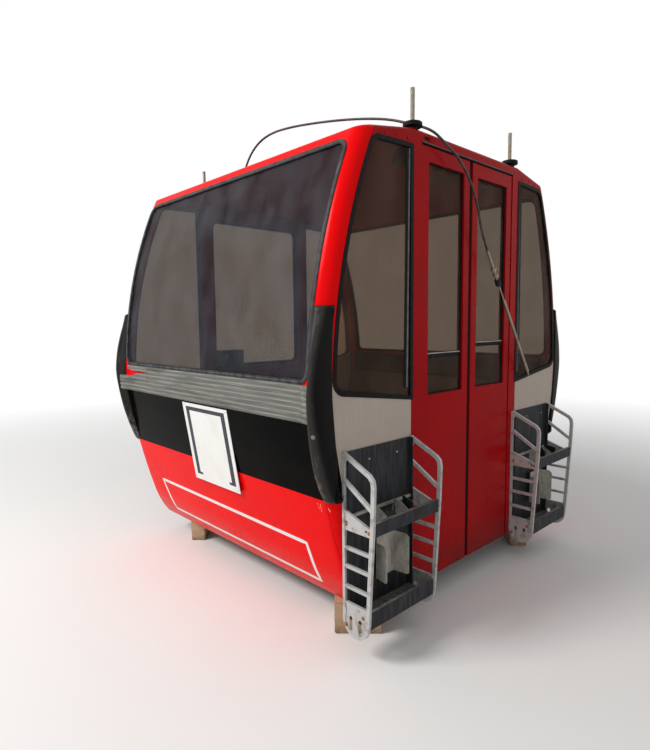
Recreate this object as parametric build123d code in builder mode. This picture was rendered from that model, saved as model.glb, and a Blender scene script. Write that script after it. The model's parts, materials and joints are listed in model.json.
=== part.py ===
# Cable car cabin standing on four timber blocks, in millimetres, +Z up.
# X is the direction of travel, the sliding doors face -Y, the ground is z = 0.
from build123d import *
import math
import os

os.makedirs("parts", exist_ok=True)

# Overall body
body_half_w = 925
rack_reach = 176.5
fender_proud = 8
y_mid = rack_reach / 2 - fender_proud / 2
door_y = y_mid - body_half_w
back_y = y_mid + body_half_w
wall_t = 38
corner_r = 65
roof_edge_r = 18

# Outline of the body seen from the door side, right half, x and z
roof_z = 2247
roof_flat_x = 475
roof_edge_x = 806
roof_edge_z = 2187
body_half_l = 1058
widest_z = 1050
bumper_low = (1053, 985)
knee = (893, 313)
hem = (805, 145)

# Horizontal seams of the end panels
seam_red_black = 664
seam_bumper_low = 990
seam_bumper_top = 1143

# End window
end_win_low_z = 1146
end_win_top_z = 2146
end_win_low_half = 859
end_win_top_half = 874
seal_w = 20

# Doors and pillars
door_half = 415
door_top_z = 2190
door_low_z = 134
pillar_out = 478
leaf_gap = 3
leaf_t = 34
leaf_inset = 4
seal_half = 13
leaf_win_in = 63
leaf_win_out = 358
leaf_win_low = 1045
leaf_win_top = 2121
leaf_win_r = 9

# Side windows
side_win_low_in = 1036
side_win_low_out = 1104
side_win_top_in = 2174
side_win_top_out = 2164
side_win_r = 68

# Ski racks, depth measured outwards from the door wall
rack_spans = [(-943, -490), (452, 905)]
frame_t = 13
bar_w = 18
rear_bar_w = 13

# Roof studs
stud_x = 440
stud_y = 889
stud_r = 10
stud_top = 2432
disc_top = 2281

ends = (-1, 1)


def plane_y(y):
    return Plane(origin=(0, y, 0), x_dir=(1, 0, 0), z_dir=(0, -1, 0))


def body_face(y, inset=0.0):
    """The whole outline of the body on a plane across Y."""
    with BuildSketch(plane_y(y)) as face:
        with BuildLine():
            flat = Line((0, roof_z), (roof_flat_x, roof_z))
            Line(flat @ 1, (roof_edge_x, roof_edge_z))
            TangentArc((body_half_l, widest_z), (roof_edge_x, roof_edge_z), tangent=(0, 1))
            waist = TangentArc((body_half_l, widest_z), bumper_low, tangent=(0, -1))
            flank = TangentArc(bumper_low, knee, tangent=waist % 1)
            turn = TangentArc(knee, hem, tangent=flank % 1)
            base = Line(turn @ 1, (0, hem[1]))
            Line(base @ 1, (0, roof_z))
        make_face()
        mirror(about=Plane.YZ)
        if inset != 0:
            offset(amount=-inset, kind=Kind.INTERSECTION)
    return face.sketch


def core_face(y, back_off):
    """The outline moved in by back_off along X and carried past roof and floor."""
    with BuildSketch(plane_y(y)) as face:
        with BuildLine():
            top = Line((0, 2500), (roof_edge_x - back_off, 2500))
            Line(top @ 1, (roof_edge_x - back_off, roof_edge_z))
            widest = (body_half_l - back_off, widest_z)
            TangentArc(widest, (roof_edge_x - back_off, roof_edge_z), tangent=(0, 1))
            waist = TangentArc(widest, (bumper_low[0] - back_off, bumper_low[1]), tangent=(0, -1))
            flank = TangentArc(waist @ 1, (knee[0] - back_off, knee[1]), tangent=waist % 1)
            turn = TangentArc(flank @ 1, (hem[0] - back_off, hem[1]), tangent=flank % 1)
            foot = Line(turn @ 1, (hem[0] - back_off, 0))
            base = Line(foot @ 1, (0, 0))
            Line(base @ 1, top @ 0)
        make_face()
        mirror(about=Plane.YZ)
    return face.sketch


# Working solids that the panels are cut from
with BuildPart() as body_solid:
    extrude(to_extrude=body_face(door_y), amount=-2 * body_half_w)
    corner_edges = [e for e in body_solid.edges()
                    if abs(e.center().Y - y_mid) > body_half_w - 1 and abs(e.center().X) > 830]
    fillet(corner_edges, corner_r)
    rim = [e for e in body_solid.edges()
           if e.center().Z > 2150 and (abs(e.center().Y - y_mid) > 850 or abs(e.center().X) > 780)
           and abs(e.bounding_box().size.Z) < 75]
    fillet(rim, roof_edge_r)

with BuildPart() as room_solid:
    extrude(to_extrude=body_face(door_y + wall_t, wall_t), amount=-2 * (body_half_w - wall_t))

with BuildPart() as core_solid:
    extrude(to_extrude=core_face(door_y - 50, corner_r), amount=-2 * (body_half_w + 50))

with BuildPart() as skin_solid:
    add(body_solid.part)
    add(room_solid.part, mode=Mode.SUBTRACT)

with BuildPart() as end_skin:
    add(skin_solid.part)
    add(core_solid.part, mode=Mode.SUBTRACT)


def slab(x0, x1, y0, y1, z0, z1):
    """A plain block between two corners, as a solid."""
    corner = (min(x0, x1), min(y0, y1), min(z0, z1))
    return Solid.make_box(abs(x1 - x0), abs(y1 - y0), abs(z1 - z0), Plane(origin=corner))


def end_window_prism(grow, x0, x1):
    """The end window outline, grown or shrunk, carried along X."""
    with BuildSketch(Plane.YZ.offset(x0)) as face:
        with BuildLine():
            Polyline((y_mid - end_win_low_half - grow, end_win_low_z - grow),
                     (y_mid + end_win_low_half + grow, end_win_low_z - grow),
                     (y_mid + end_win_top_half + grow, end_win_top_z + grow),
                     (y_mid - end_win_top_half - grow, end_win_top_z + grow), close=True)
        make_face()
        fillet(face.vertices(), 62 + grow)
    return extrude(face.sketch, amount=x1 - x0)


def end_layer(outer_inset, inner_inset):
    """A curved sheet that follows the end walls between two depths."""
    outer = extrude(body_face(door_y - 60, outer_inset), amount=-2 * (body_half_w + 60))
    inner = extrude(body_face(door_y - 70, inner_inset), amount=-2 * (body_half_w + 70))
    return outer - inner


def corner_x(z, back_off):
    """X of the end curve above its widest height, moved in by back_off."""
    rise = roof_edge_z - widest_z
    drop = body_half_l - roof_edge_x
    radius = (rise * rise + drop * drop) / (2 * drop)
    return body_half_l - radius + math.sqrt(radius * radius - (z - widest_z) ** 2) - back_off


def side_window_face(y, shrink):
    """Right side window outline, between the pillar and the corner curve."""
    low = side_win_low_out + shrink
    top = side_win_top_out - shrink
    mid = (low + top) / 2
    x_in = pillar_out + shrink
    back_off = corner_r + shrink
    with BuildSketch(plane_y(y)) as face:
        with BuildLine():
            sill = Line((x_in, side_win_low_in + shrink), (corner_x(low, back_off), low))
            outer = ThreePointArc(sill @ 1, (corner_x(mid, back_off), mid), (corner_x(top, back_off), top))
            head = Line(outer @ 1, (x_in, side_win_top_in - shrink))
            Line(head @ 1, sill @ 0)
        make_face()
        fillet([v for v in face.vertices() if v.X > x_in + 20], side_win_r - shrink)
    return face.sketch


def side_window_block(y0, y1, shrink):
    """Both side window outlines carried from y0 to y1."""
    right = extrude(side_window_face(y0, shrink), amount=-(y1 - y0))
    return right + mirror(right, about=Plane.YZ)


def mirror_x(shape):
    return mirror(shape, about=Plane.YZ)


def mirror_y(shape):
    return mirror(shape, about=Plane.XZ.offset(-y_mid))


# Zones that split the body into its panels
wide_x = 1300
lower_zone = slab(-wide_x, wide_x, door_y - 100, back_y + 100, 0, seam_red_black)
black_zone = slab(-wide_x, wide_x, door_y - 100, back_y + 100, seam_red_black, seam_bumper_low)
frame_zone = slab(-wide_x, wide_x, door_y - 100, back_y + 100, seam_bumper_low, 2300)
left_zone = slab(-wide_x, 0, door_y - 100, back_y + 100, 0, 2400)
glass_hole = end_window_prism(0, 500, wide_x)
side_hole = side_window_block(door_y - 60, back_y + 60, 0)

# Lower red end panels; a fine groove marks the joint between the sheet and each corner piece
joint_y = 884
joint_w = 3
joint_cut = end_layer(-2, joint_w)
joint_bands = (slab(-wide_x, wide_x, y_mid - joint_y - joint_w, y_mid - joint_y, 0, seam_red_black)
               + slab(-wide_x, wide_x, y_mid + joint_y, y_mid + joint_y + joint_w, 0, seam_red_black))
with BuildPart() as end_lower_panels:
    add((end_skin.part & lower_zone) - (joint_cut & joint_bands))
end_lower_panels.part.label = "end_lower_panels"
export_step(end_lower_panels.part, "parts/end_lower_panels.step")

# Gloss black end panels
with BuildPart() as end_black_panels:
    add(end_skin.part & black_zone)
end_black_panels.part.label = "end_black_panels"
export_step(end_black_panels.part, "parts/end_black_panels.step")

# Red frames round the end windows, with the rounded corner posts
end_frame_solid = (end_skin.part & frame_zone & left_zone) - mirror_x(glass_hole)
with BuildPart() as end_frame_left:
    add(end_frame_solid)
end_frame_left.part.label = "end_frame_left"
export_step(end_frame_left.part, "parts/end_frame_left.step")

end_frame_mirrored = mirror_x(end_frame_solid)
with BuildPart() as end_frame_right:
    add(end_frame_mirrored)
end_frame_right.part.label = "end_frame_right"
export_step(end_frame_right.part, "parts/end_frame_right.step")

# Moulded corner fenders: one profile seen from the side, one seen from the end, rounded on the outer corner
fender_in_x = 983
fender_out_x = 1110
fender_top_z = 1462
fender_low_z = 656
fender_y_in = 857
fender_round = 46
fender_inner_bevel = 20
with BuildPart() as fender_solid:
    with BuildSketch(plane_y(y_mid - fender_y_in + 20)):
        with BuildLine():
            crown = Line((fender_in_x, fender_top_z), (1026, fender_top_z))
            TangentArc((fender_out_x, widest_z), crown @ 1, tangent=(0, 1))
            lower = TangentArc((fender_out_x, widest_z), (988, fender_low_z), tangent=(0, -1))
            under = Line(lower @ 1, (fender_in_x - 27, fender_low_z))
            Line(under @ 1, crown @ 0)
        make_face()
    extrude(amount=body_half_w + fender_proud - fender_y_in + 20)
    with BuildSketch(Plane.YZ.offset(fender_in_x - 60)):
        with BuildLine():
            brow = Line((y_mid - 1000, fender_top_z), (y_mid - fender_y_in - 14, fender_top_z))
            cheek = Line(brow @ 1, (y_mid - fender_y_in, 1180))
            jaw = Line(cheek @ 1, (y_mid - fender_y_in, 850))
            chin = TangentArc(jaw @ 1, (y_mid - fender_y_in - 58, fender_low_z), tangent=(0, -1))
            sole = Line(chin @ 1, (y_mid - 1000, fender_low_z))
            Line(sole @ 1, brow @ 0)
        make_face()
    extrude(amount=300, mode=Mode.INTERSECT)
    ridge = [e for e in fender_solid.edges()
             if e.center().Y < y_mid - body_half_w and e.center().X > 1010 and e.length > 150]
    fillet(ridge, fender_round)
    inner_ridge = [e for e in fender_solid.edges()
                   if abs(e.center().Y - (y_mid - fender_y_in)) < 30
                   and e.center().X > 1030 and e.length > 100]
    chamfer(inner_ridge, fender_inner_bevel)
fender_near_right = fender_solid.part - body_solid.part - glass_hole - side_hole
fender_near = fender_near_right + mirror_x(fender_near_right)
fenders = fender_near + mirror_y(fender_near)
with BuildPart() as corner_fenders:
    add(fenders)
corner_fenders.part.label = "corner_fenders"
export_step(corner_fenders.part, "parts/corner_fenders.step")

# End window rubber seals and panes
seal_band = end_window_prism(0, 500, wide_x) - end_window_prism(-seal_w, 400, wide_x + 50)
groove_band = end_window_prism(-9, 500, wide_x) - end_window_prism(-14, 400, wide_x + 50)
seal_ring = end_layer(-4, 18) & seal_band
seal_groove = end_layer(-8, 1) & groove_band
seal_rings = (seal_ring - seal_groove) + mirror_x(seal_ring - seal_groove)
with BuildPart() as end_window_seals:
    add(seal_rings)
end_window_seals.part.label = "end_window_seals"
export_step(end_window_seals.part, "parts/end_window_seals.step")

end_pane = end_layer(5, 11) & end_window_prism(-seal_w, 500, wide_x)
end_panes = end_pane + mirror_x(end_pane)
with BuildPart() as end_window_panes:
    add(end_panes)
end_window_panes.part.label = "end_window_panes"
export_step(end_window_panes.part, "parts/end_window_panes.step")

# Grooved bumper bands; one end of the left band is torn away at its top, y from the middle and z
band_half = 855
groove_zs = [seam_bumper_low + 19 + 19.5 * row for row in range(7)]
torn_outline = [(900, 1160), (900, 1088), (760, 1085), (742, 1104), (655, 1111), (548, 1119),
                (660, 1126), (700, 1136), (712, 1160)]
band_zone = slab(500, wide_x, y_mid - band_half, y_mid + band_half, seam_bumper_low, seam_bumper_top)
band_raw = end_layer(-16, 0) & band_zone
groove_cut = end_layer(-30, -9)
for groove_z in groove_zs:
    groove = groove_cut & slab(500, wide_x, y_mid - 900, y_mid + 900, groove_z - 4, groove_z + 4)
    band_raw = band_raw - groove
with BuildSketch(Plane.YZ.offset(-wide_x)) as torn_face:
    with BuildLine():
        Polyline(*[(y_mid + torn_y, torn_z) for torn_y, torn_z in torn_outline], close=True)
    make_face()
torn_block = extrude(torn_face.sketch, amount=500)
bands = band_raw + (mirror_x(band_raw) - torn_block)
with BuildPart() as bumper_bands:
    add(bands)
bumper_bands.part.label = "bumper_bands"
export_step(bumper_bands.part, "parts/bumper_bands.step")

# Door wall: pillars, header and lower wall
wall_core = skin_solid.part & core_solid.part
door_slice = slab(-wide_x, wide_x, door_y - 50, door_y + wall_t, 0, 2300)
back_slice = slab(-wide_x, wide_x, back_y - wall_t, back_y + 50, 0, 2300)
panel_x = 1100
panel_top = side_win_low_out + 100
panel_in_x = 490
side_panel_zone = (slab(panel_in_x, panel_x, door_y - 60, back_y + 60, seam_red_black, panel_top)
                   + slab(-panel_x, -panel_in_x, door_y - 60, back_y + 60, seam_red_black, panel_top))
door_hole = slab(-door_half, door_half, door_y - 60, door_y + 60, 0, door_top_z)
header_slot = slab(-399, -361, door_y - 60, door_y + 60, 2207, 2224)
drip_cut = slab(-door_half, door_half, door_y - 60, door_y + 6, door_top_z, door_top_z + 9)
with BuildPart() as door_wall:
    add((wall_core & door_slice) - side_panel_zone - side_hole - door_hole - header_slot - drip_cut)
door_wall.part.label = "door_wall"
export_step(door_wall.part, "parts/door_wall.step")

# Rubber strip over the doors
with BuildPart() as door_drip_strip:
    with BuildSketch(Plane.YZ.offset(-door_half)):
        with BuildLine():
            Polyline((door_y + 6, door_top_z), (door_y - 3, door_top_z + 1),
                     (door_y - 3, door_top_z + 5), (door_y + 6, door_top_z + 9), close=True)
        make_face()
    extrude(amount=2 * door_half)
door_drip_strip.part.label = "door_drip_strip"
export_step(door_drip_strip.part, "parts/door_drip_strip.step")

# Taupe panels under the side windows, on both walls
with BuildPart() as side_panels_front:
    add(((wall_core & door_slice) & side_panel_zone) - side_hole)
side_panels_front.part.label = "side_panels_front"
export_step(side_panels_front.part, "parts/side_panels_front.step")

with BuildPart() as side_panels_back:
    add(((wall_core & back_slice) & side_panel_zone) - side_hole)
side_panels_back.part.label = "side_panels_back"
export_step(side_panels_back.part, "parts/side_panels_back.step")

# Side window seals and panes
ring_outer = side_window_block(door_y - 3, door_y + 18, 0)
ring_inner = side_window_block(door_y - 10, door_y + 30, seal_w)
side_rings = (ring_outer - ring_inner) + mirror_y(ring_outer - ring_inner)
with BuildPart() as side_window_seals:
    add(side_rings)
side_window_seals.part.label = "side_window_seals"
export_step(side_window_seals.part, "parts/side_window_seals.step")

side_panes = side_window_block(door_y + 5, door_y + 10, seal_w)
side_panes = side_panes + mirror_y(side_panes)
with BuildPart() as side_window_panes:
    add(side_panes)
side_window_panes.part.label = "side_window_panes"
export_step(side_window_panes.part, "parts/side_window_panes.step")

# Back wall with its wide fixed middle window
back_win_half = 390
back_win_low = 1080
back_win_top = 2120
back_win_r = 60


def back_window_prism(shrink, y0, y1):
    """The middle window outline of the back wall, shrunk, from y0 to y1."""
    with BuildSketch(plane_y(y0)) as face:
        with Locations((0, (back_win_low + back_win_top) / 2)):
            RectangleRounded(2 * (back_win_half - shrink), back_win_top - back_win_low - 2 * shrink,
                             back_win_r - shrink)
    return extrude(face.sketch, amount=-(y1 - y0))


back_hole = back_window_prism(0, back_y - 60, back_y + 60)
with BuildPart() as back_wall:
    add((wall_core & back_slice) - side_panel_zone - side_hole - back_hole)
back_wall.part.label = "back_wall"
export_step(back_wall.part, "parts/back_wall.step")

back_ring_outer = back_window_prism(0, back_y - 18, back_y + 3)
back_ring = back_ring_outer - back_window_prism(seal_w, back_y - 30, back_y + 30)
with BuildPart() as back_window_seal:
    add(back_ring)
back_window_seal.part.label = "back_window_seal"
export_step(back_window_seal.part, "parts/back_window_seal.step")

back_pane = back_window_prism(seal_w, back_y - 10, back_y - 5)
with BuildPart() as back_window_pane:
    add(back_pane)
back_window_pane.part.label = "back_window_pane"
export_step(back_window_pane.part, "parts/back_window_pane.step")

# Sliding door leaves with their windows
leaf_y0 = door_y + leaf_inset
leaf_y1 = leaf_y0 + leaf_t
leaf_w = door_half - leaf_gap - seal_half
leaf_h = door_top_z - leaf_gap - door_low_z
leaf_mid = (seal_half + door_half - leaf_gap) / 2
leaf_mid_z = door_low_z + leaf_h / 2
leaf_win_mid = (leaf_win_in + leaf_win_out) / 2
leaf_win_mid_z = (leaf_win_low + leaf_win_top) / 2
leaf_win_w = leaf_win_out - leaf_win_in
leaf_win_h = leaf_win_top - leaf_win_low
with BuildPart() as door_leaf_right:
    with BuildSketch(plane_y(leaf_y0)):
        with Locations((leaf_mid, leaf_mid_z)):
            Rectangle(leaf_w, leaf_h)
        with Locations((leaf_win_mid, leaf_win_mid_z)):
            RectangleRounded(leaf_win_w, leaf_win_h, leaf_win_r, mode=Mode.SUBTRACT)
    extrude(amount=-leaf_t)
    leaf_rim = [e for e in door_leaf_right.edges()
                if abs(e.center().Y - leaf_y0) < 0.1 and abs(e.length - leaf_h) < 1]
    fillet(leaf_rim, 3)
door_leaf_right.part.label = "door_leaf_right"
export_step(door_leaf_right.part, "parts/door_leaf_right.step")

leaf_mirrored = mirror_x(door_leaf_right.part)
with BuildPart() as door_leaf_left:
    add(leaf_mirrored)
door_leaf_left.part.label = "door_leaf_left"
export_step(door_leaf_left.part, "parts/door_leaf_left.step")

# Black trims and the panes, set back in the leaves
leaf_trim_w = 6
trim_set_back = 10
leaf_win_spots = [(-leaf_win_mid, leaf_win_mid_z), (leaf_win_mid, leaf_win_mid_z)]
with BuildPart() as door_window_trims:
    with BuildSketch(plane_y(leaf_y0 + trim_set_back)):
        with Locations(*leaf_win_spots):
            RectangleRounded(leaf_win_w, leaf_win_h, leaf_win_r)
        with Locations(*leaf_win_spots):
            Rectangle(leaf_win_w - 2 * leaf_trim_w, leaf_win_h - 2 * leaf_trim_w, mode=Mode.SUBTRACT)
    extrude(amount=-14)
door_window_trims.part.label = "door_window_trims"
export_step(door_window_trims.part, "parts/door_window_trims.step")

with BuildPart() as door_window_panes:
    with BuildSketch(plane_y(leaf_y0 + trim_set_back + 5)):
        with Locations(*leaf_win_spots):
            Rectangle(leaf_win_w - 2 * leaf_trim_w, leaf_win_h - 2 * leaf_trim_w)
    extrude(amount=-5)
door_window_panes.part.label = "door_window_panes"
export_step(door_window_panes.part, "parts/door_window_panes.step")

# Rubber lip where the leaves meet, with a ridge down its middle
with BuildPart() as door_centre_seal:
    with BuildSketch(Plane.XY.offset(door_low_z + 2)):
        with BuildLine():
            Polyline((-seal_half, leaf_y0 + 6), (-4, leaf_y0 + 8), (0, leaf_y0 + 3),
                     (4, leaf_y0 + 8), (seal_half, leaf_y0 + 6), (seal_half, leaf_y1 - 2),
                     (-seal_half, leaf_y1 - 2), close=True)
        make_face()
    extrude(amount=leaf_h - 4)
door_centre_seal.part.label = "door_centre_seal"
export_step(door_centre_seal.part, "parts/door_centre_seal.step")

# Black rails across the door windows, inside the glass: centre height of the left and of the right one
rail_depth = 14
rail_table = [(-leaf_win_mid, 1231, 26), (leaf_win_mid, 1272, 27)]
with BuildPart() as door_rails:
    for rail_x, rail_z, rail_h in rail_table:
        with BuildSketch(plane_y(leaf_y1)):
            with Locations((rail_x, rail_z)):
                RectangleRounded(leaf_win_w + 12, rail_h, 5)
        extrude(amount=-rail_depth)
door_rails.part.label = "door_rails"
export_step(door_rails.part, "parts/door_rails.step")

# Roof shell between the walls
inner_core = slab(-wide_x, wide_x, door_y + wall_t, back_y - wall_t, 0, 2400)
roof_zone = slab(-wide_x, wide_x, door_y, back_y, 1900, 2400)
with BuildPart() as roof_panel:
    add(skin_solid.part & core_solid.part & inner_core & roof_zone)
roof_panel.part.label = "roof_panel"
export_step(roof_panel.part, "parts/roof_panel.step")

# Floor plate, and the cross beams under it that stand on the blocks
floor_low = hem[1]
floor_plate_z = 203
floor_top = 240
floor_zone = slab(-wide_x, wide_x, door_y + wall_t, back_y - wall_t, floor_plate_z, floor_top)
with BuildPart() as floor_pan:
    add((body_solid.part - end_skin.part) & floor_zone)
floor_pan.part.label = "floor_pan"
export_step(floor_pan.part, "parts/floor_pan.step")

beam_xs = [-690, -345, 0, 345, 690]
beam_w = 60
beam_t = 5
beam_len = 2 * (body_half_w - wall_t)
with BuildPart() as floor_beams:
    for beam_x in beam_xs:
        with BuildSketch(plane_y(door_y + wall_t)):
            with Locations((beam_x, (floor_low + floor_plate_z) / 2)):
                Rectangle(beam_w, floor_plate_z - floor_low)
            with Locations((beam_x, (floor_low + floor_plate_z) / 2 + beam_t)):
                Rectangle(beam_w - 2 * beam_t, floor_plate_z - floor_low - beam_t, mode=Mode.SUBTRACT)
        extrude(amount=-beam_len)
floor_beams.part.label = "floor_beams"
export_step(floor_beams.part, "parts/floor_beams.step")

# Door drive under the roof behind the header
drive_y0 = door_y + 62
with BuildPart() as door_drive_case:
    with BuildSketch(Plane.YZ.offset(-405)):
        with BuildLine():
            Polyline((drive_y0, 2140), (drive_y0 + 120, 2140), (drive_y0 + 120, 2180),
                     (drive_y0 + 98, 2202), (drive_y0, 2202), close=True)
        make_face()
    extrude(amount=810)
door_drive_case.part.label = "door_drive_case"
export_step(door_drive_case.part, "parts/door_drive_case.step")

# Orange levers and links on the drive: centre x, length, height, tilt in degrees
lever_table = [(-345, 70, 22, -8), (-262, 88, 18, 12), (-170, 96, 24, -6), (-88, 60, 16, 10),
               (100, 84, 18, -10), (205, 96, 24, 6), (320, 90, 20, -7)]
with BuildPart() as door_drive_levers:
    for lever_x, lever_len, lever_h, lever_tilt in lever_table:
        with BuildSketch(plane_y(drive_y0)):
            with Locations(Location((lever_x, 2157, 0), (0, 0, lever_tilt))):
                SlotOverall(lever_len, lever_h)
        extrude(amount=12)
door_drive_levers.part.label = "door_drive_levers"
export_step(door_drive_levers.part, "parts/door_drive_levers.step")

# Bench shells at both ends: a bent sheet, front panel and seat, seen from the side
seat_half = 850
seat_x_in = 566
seat_low = 590
bench_t = 18
with BuildPart() as bench_right:
    with BuildSketch(plane_y(y_mid - seat_half)):
        with BuildLine():
            seat_line_z = seat_low + bench_t / 2
            FilletPolyline((640, floor_top), (574, seat_line_z), (890, seat_line_z), radius=45)
        trace(line_width=bench_t)
    extrude(amount=-2 * seat_half)
    split(bisect_by=Plane.XY.offset(floor_top), keep=Keep.TOP)
bench_both = bench_right.part + mirror_x(bench_right.part)
with BuildPart() as bench_boxes:
    add(bench_both)
bench_boxes.part.label = "bench_boxes"
export_step(bench_boxes.part, "parts/bench_boxes.step")

# Seat cushions, backrest boards and the pads above them
cushion_t = 50
seat_top = seat_low + bench_t
with BuildPart() as cushion_right:
    with BuildSketch(plane_y(y_mid - seat_half)):
        with Locations(((seat_x_in + 880) / 2, seat_top + cushion_t / 2)):
            RectangleRounded(880 - seat_x_in, cushion_t, 18)
    extrude(amount=-2 * seat_half)
cushion_both = cushion_right.part + mirror_x(cushion_right.part)
with BuildPart() as seat_cushions:
    add(cushion_both)
seat_cushions.part.label = "seat_cushions"
export_step(seat_cushions.part, "parts/seat_cushions.step")

with BuildPart() as board_right:
    with BuildSketch(plane_y(y_mid - seat_half)):
        with BuildLine():
            Polyline((893, 664), (905, 660), (1000, 972), (988, 976), close=True)
        make_face()
    extrude(amount=-2 * seat_half)
board_both = board_right.part + mirror_x(board_right.part)
with BuildPart() as backrest_boards:
    add(board_both)
backrest_boards.part.label = "backrest_boards"
export_step(backrest_boards.part, "parts/backrest_boards.step")

with BuildPart() as pad_right:
    with BuildSketch(plane_y(y_mid - seat_half)):
        with Locations((992, 1061)):
            RectangleRounded(36, 162, 12)
    extrude(amount=-2 * seat_half)
pad_both = pad_right.part + mirror_x(pad_right.part)
with BuildPart() as backrest_pads:
    add(pad_both)
backrest_pads.part.label = "backrest_pads"
export_step(backrest_pads.part, "parts/backrest_pads.step")

# Emergency latch box on the back wall
with BuildPart() as latch_box:
    with BuildSketch(plane_y(back_y - wall_t - 60)):
        with Locations((-290, 1144)):
            RectangleRounded(190, 121, 8)
    extrude(amount=-60)
latch_box.part.label = "latch_box"
export_step(latch_box.part, "parts/latch_box.step")

# Ski racks: cast ladder-like side frames, drawn as depth and height; the full bars stand proud of a thin web
frame_bars = [
    ("rear", (7, 860), (7, 176), rear_bar_w),
    ("top", (9, 864), (148, 797), bar_w),
    ("bend", (148, 797), (163, 781), bar_w),
    ("shoulder", (163, 781), (167.5, 757), bar_w),
    ("front", (167.5, 757), (163, 610), bar_w),
    ("shin", (163, 610), (137, 178), bar_w),
    ("second", (9, 757), (164, 658), 16),
    ("gusset_top", (10, 629), (160, 578), 9),
    ("rung_1", (10, 479), (155, 479), 7),
    ("rung_2", (10, 401), (150, 401), 7),
    ("rung_3", (10, 315), (145, 315), 7),
    ("rung_4", (10, 242), (140, 242), 8),
]
frame_joints = [(9, 864), (148, 797), (163, 781), (167.5, 757), (163, 610)]
rung_webs = [(474, 152), (396, 147), (310, 142), (237, 137)]
web_t = 5
foot_r = 72
foot_z = 174
foot_rim = 13


def bar_face():
    """The full-depth bars of one side frame; local x is depth, local y is height."""
    with BuildSketch() as face:
        for name, start, end, width in frame_bars:
            dx = end[0] - start[0]
            dz = end[1] - start[1]
            turn = math.degrees(math.atan2(dz, dx))
            middle = ((start[0] + end[0]) / 2, (start[1] + end[1]) / 2, 0)
            with Locations(Location(middle, (0, 0, turn))):
                Rectangle(math.hypot(dx, dz), width)
        for joint in frame_joints:
            with Locations(joint):
                Circle(bar_w / 2)
        with Locations((foot_r, foot_z)):
            Circle(foot_r)
            Circle(foot_r - foot_rim, mode=Mode.SUBTRACT)
        with Locations((foot_r, foot_z + foot_r)):
            Rectangle(2 * foot_r - 2 * bar_w, 2 * foot_r, mode=Mode.SUBTRACT)
        for rung_z, rung_len in rung_webs:
            with Locations((rung_len / 2 + 4, rung_z + 5)):
                Rectangle(rung_len - 8, 7)
    return face.sketch


def web_face():
    """The thin web of one side frame: rungs, gusset, corner and foot with its slots and bolt holes."""
    with BuildSketch() as face:
        for rung_z, rung_len in rung_webs:
            with Locations((rung_len / 2 + 4, rung_z)):
                Rectangle(rung_len - 8, 15)
        with BuildLine():
            Polyline((6, 632), (160, 580), (160, 550), (6, 550), close=True)
        make_face()
        with BuildLine():
            Polyline((8, 862), (40, 846), (20, 836), (14, 812), (8, 812), close=True)
        make_face()
        with Locations((foot_r, foot_z)):
            Circle(foot_r - 4)
        with Locations((foot_r, 205)):
            Rectangle(2 * foot_r - 12, 64)
        with Locations((42, 158), (93, 158)):
            SlotOverall(62, 17, rotation=90, mode=Mode.SUBTRACT)
        with Locations((20, 583), (128, 571)):
            Circle(6, mode=Mode.SUBTRACT)
    return face.sketch


bar_flat = bar_face()
web_flat = web_face()
rack_plane = Plane(origin=(0, door_y, 0), x_dir=(0, -1, 0), z_dir=(-1, 0, 0))
frame_xs = [edge for x0, x1 in rack_spans for edge in (x0 + frame_t, x1)]
with BuildPart() as rack_side_frames:
    for frame_x in frame_xs:
        extrude(to_extrude=rack_plane.offset(-frame_x) * bar_flat, amount=frame_t)
        web_x = frame_x - (frame_t - web_t) / 2
        extrude(to_extrude=rack_plane.offset(-web_x) * web_flat, amount=web_t)
rack_side_frames.part.label = "rack_side_frames"
export_step(rack_side_frames.part, "parts/rack_side_frames.step")

# Rack back plates: folded sheets with a return along each side
plate_spans = [(x0 + frame_t, x1 - frame_t) for x0, x1 in rack_spans]
plate_t = 4
plate_depth = 24
plate_low = 160
plate_top = 868
with BuildPart() as rack_back_plates:
    for x0, x1 in plate_spans:
        with BuildSketch(Plane.XY.offset(plate_low)):
            with BuildLine():
                Polyline((x0 + plate_t / 2, door_y - plate_depth), (x0 + plate_t / 2, door_y - plate_t / 2),
                         (x1 - plate_t / 2, door_y - plate_t / 2), (x1 - plate_t / 2, door_y - plate_depth))
            trace(line_width=plate_t)
        extrude(amount=plate_top - plate_low)
rack_back_plates.part.label = "rack_back_plates"
export_step(rack_back_plates.part, "parts/rack_back_plates.step")

# Front boards: shallow channels, given as depth range and height range
board_t = 4
board_table = [(165, 18, 553, 607), (139, 14, 160, 232)]
with BuildPart() as rack_front_boards:
    for x0, x1 in plate_spans:
        for board_d, lip, z0, z1 in board_table:
            face_y = door_y - board_d + board_t / 2
            lip_y = door_y - board_d + lip
            low_z = z0 + board_t / 2
            high_z = z1 - board_t / 2
            with BuildSketch(Plane.YZ.offset(x0)):
                with BuildLine():
                    Polyline((lip_y, low_z), (face_y, low_z), (face_y, high_z), (lip_y, high_z))
                trace(line_width=board_t)
            extrude(amount=x1 - x0)
rack_front_boards.part.label = "rack_front_boards"
export_step(rack_front_boards.part, "parts/rack_front_boards.step")

# Lower trays behind the lower boards
tray_low = 164
tray_t = 5
with BuildPart() as rack_lower_trays:
    for x0, x1 in plate_spans:
        with BuildSketch(Plane.XY.offset(tray_low)):
            with Locations(((x0 + x1) / 2, door_y - 64)):
                Rectangle(x1 - x0 - 2 * plate_t, 120)
        extrude(amount=tray_t)
rack_lower_trays.part.label = "rack_lower_trays"
export_step(rack_lower_trays.part, "parts/rack_lower_trays.step")

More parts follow.
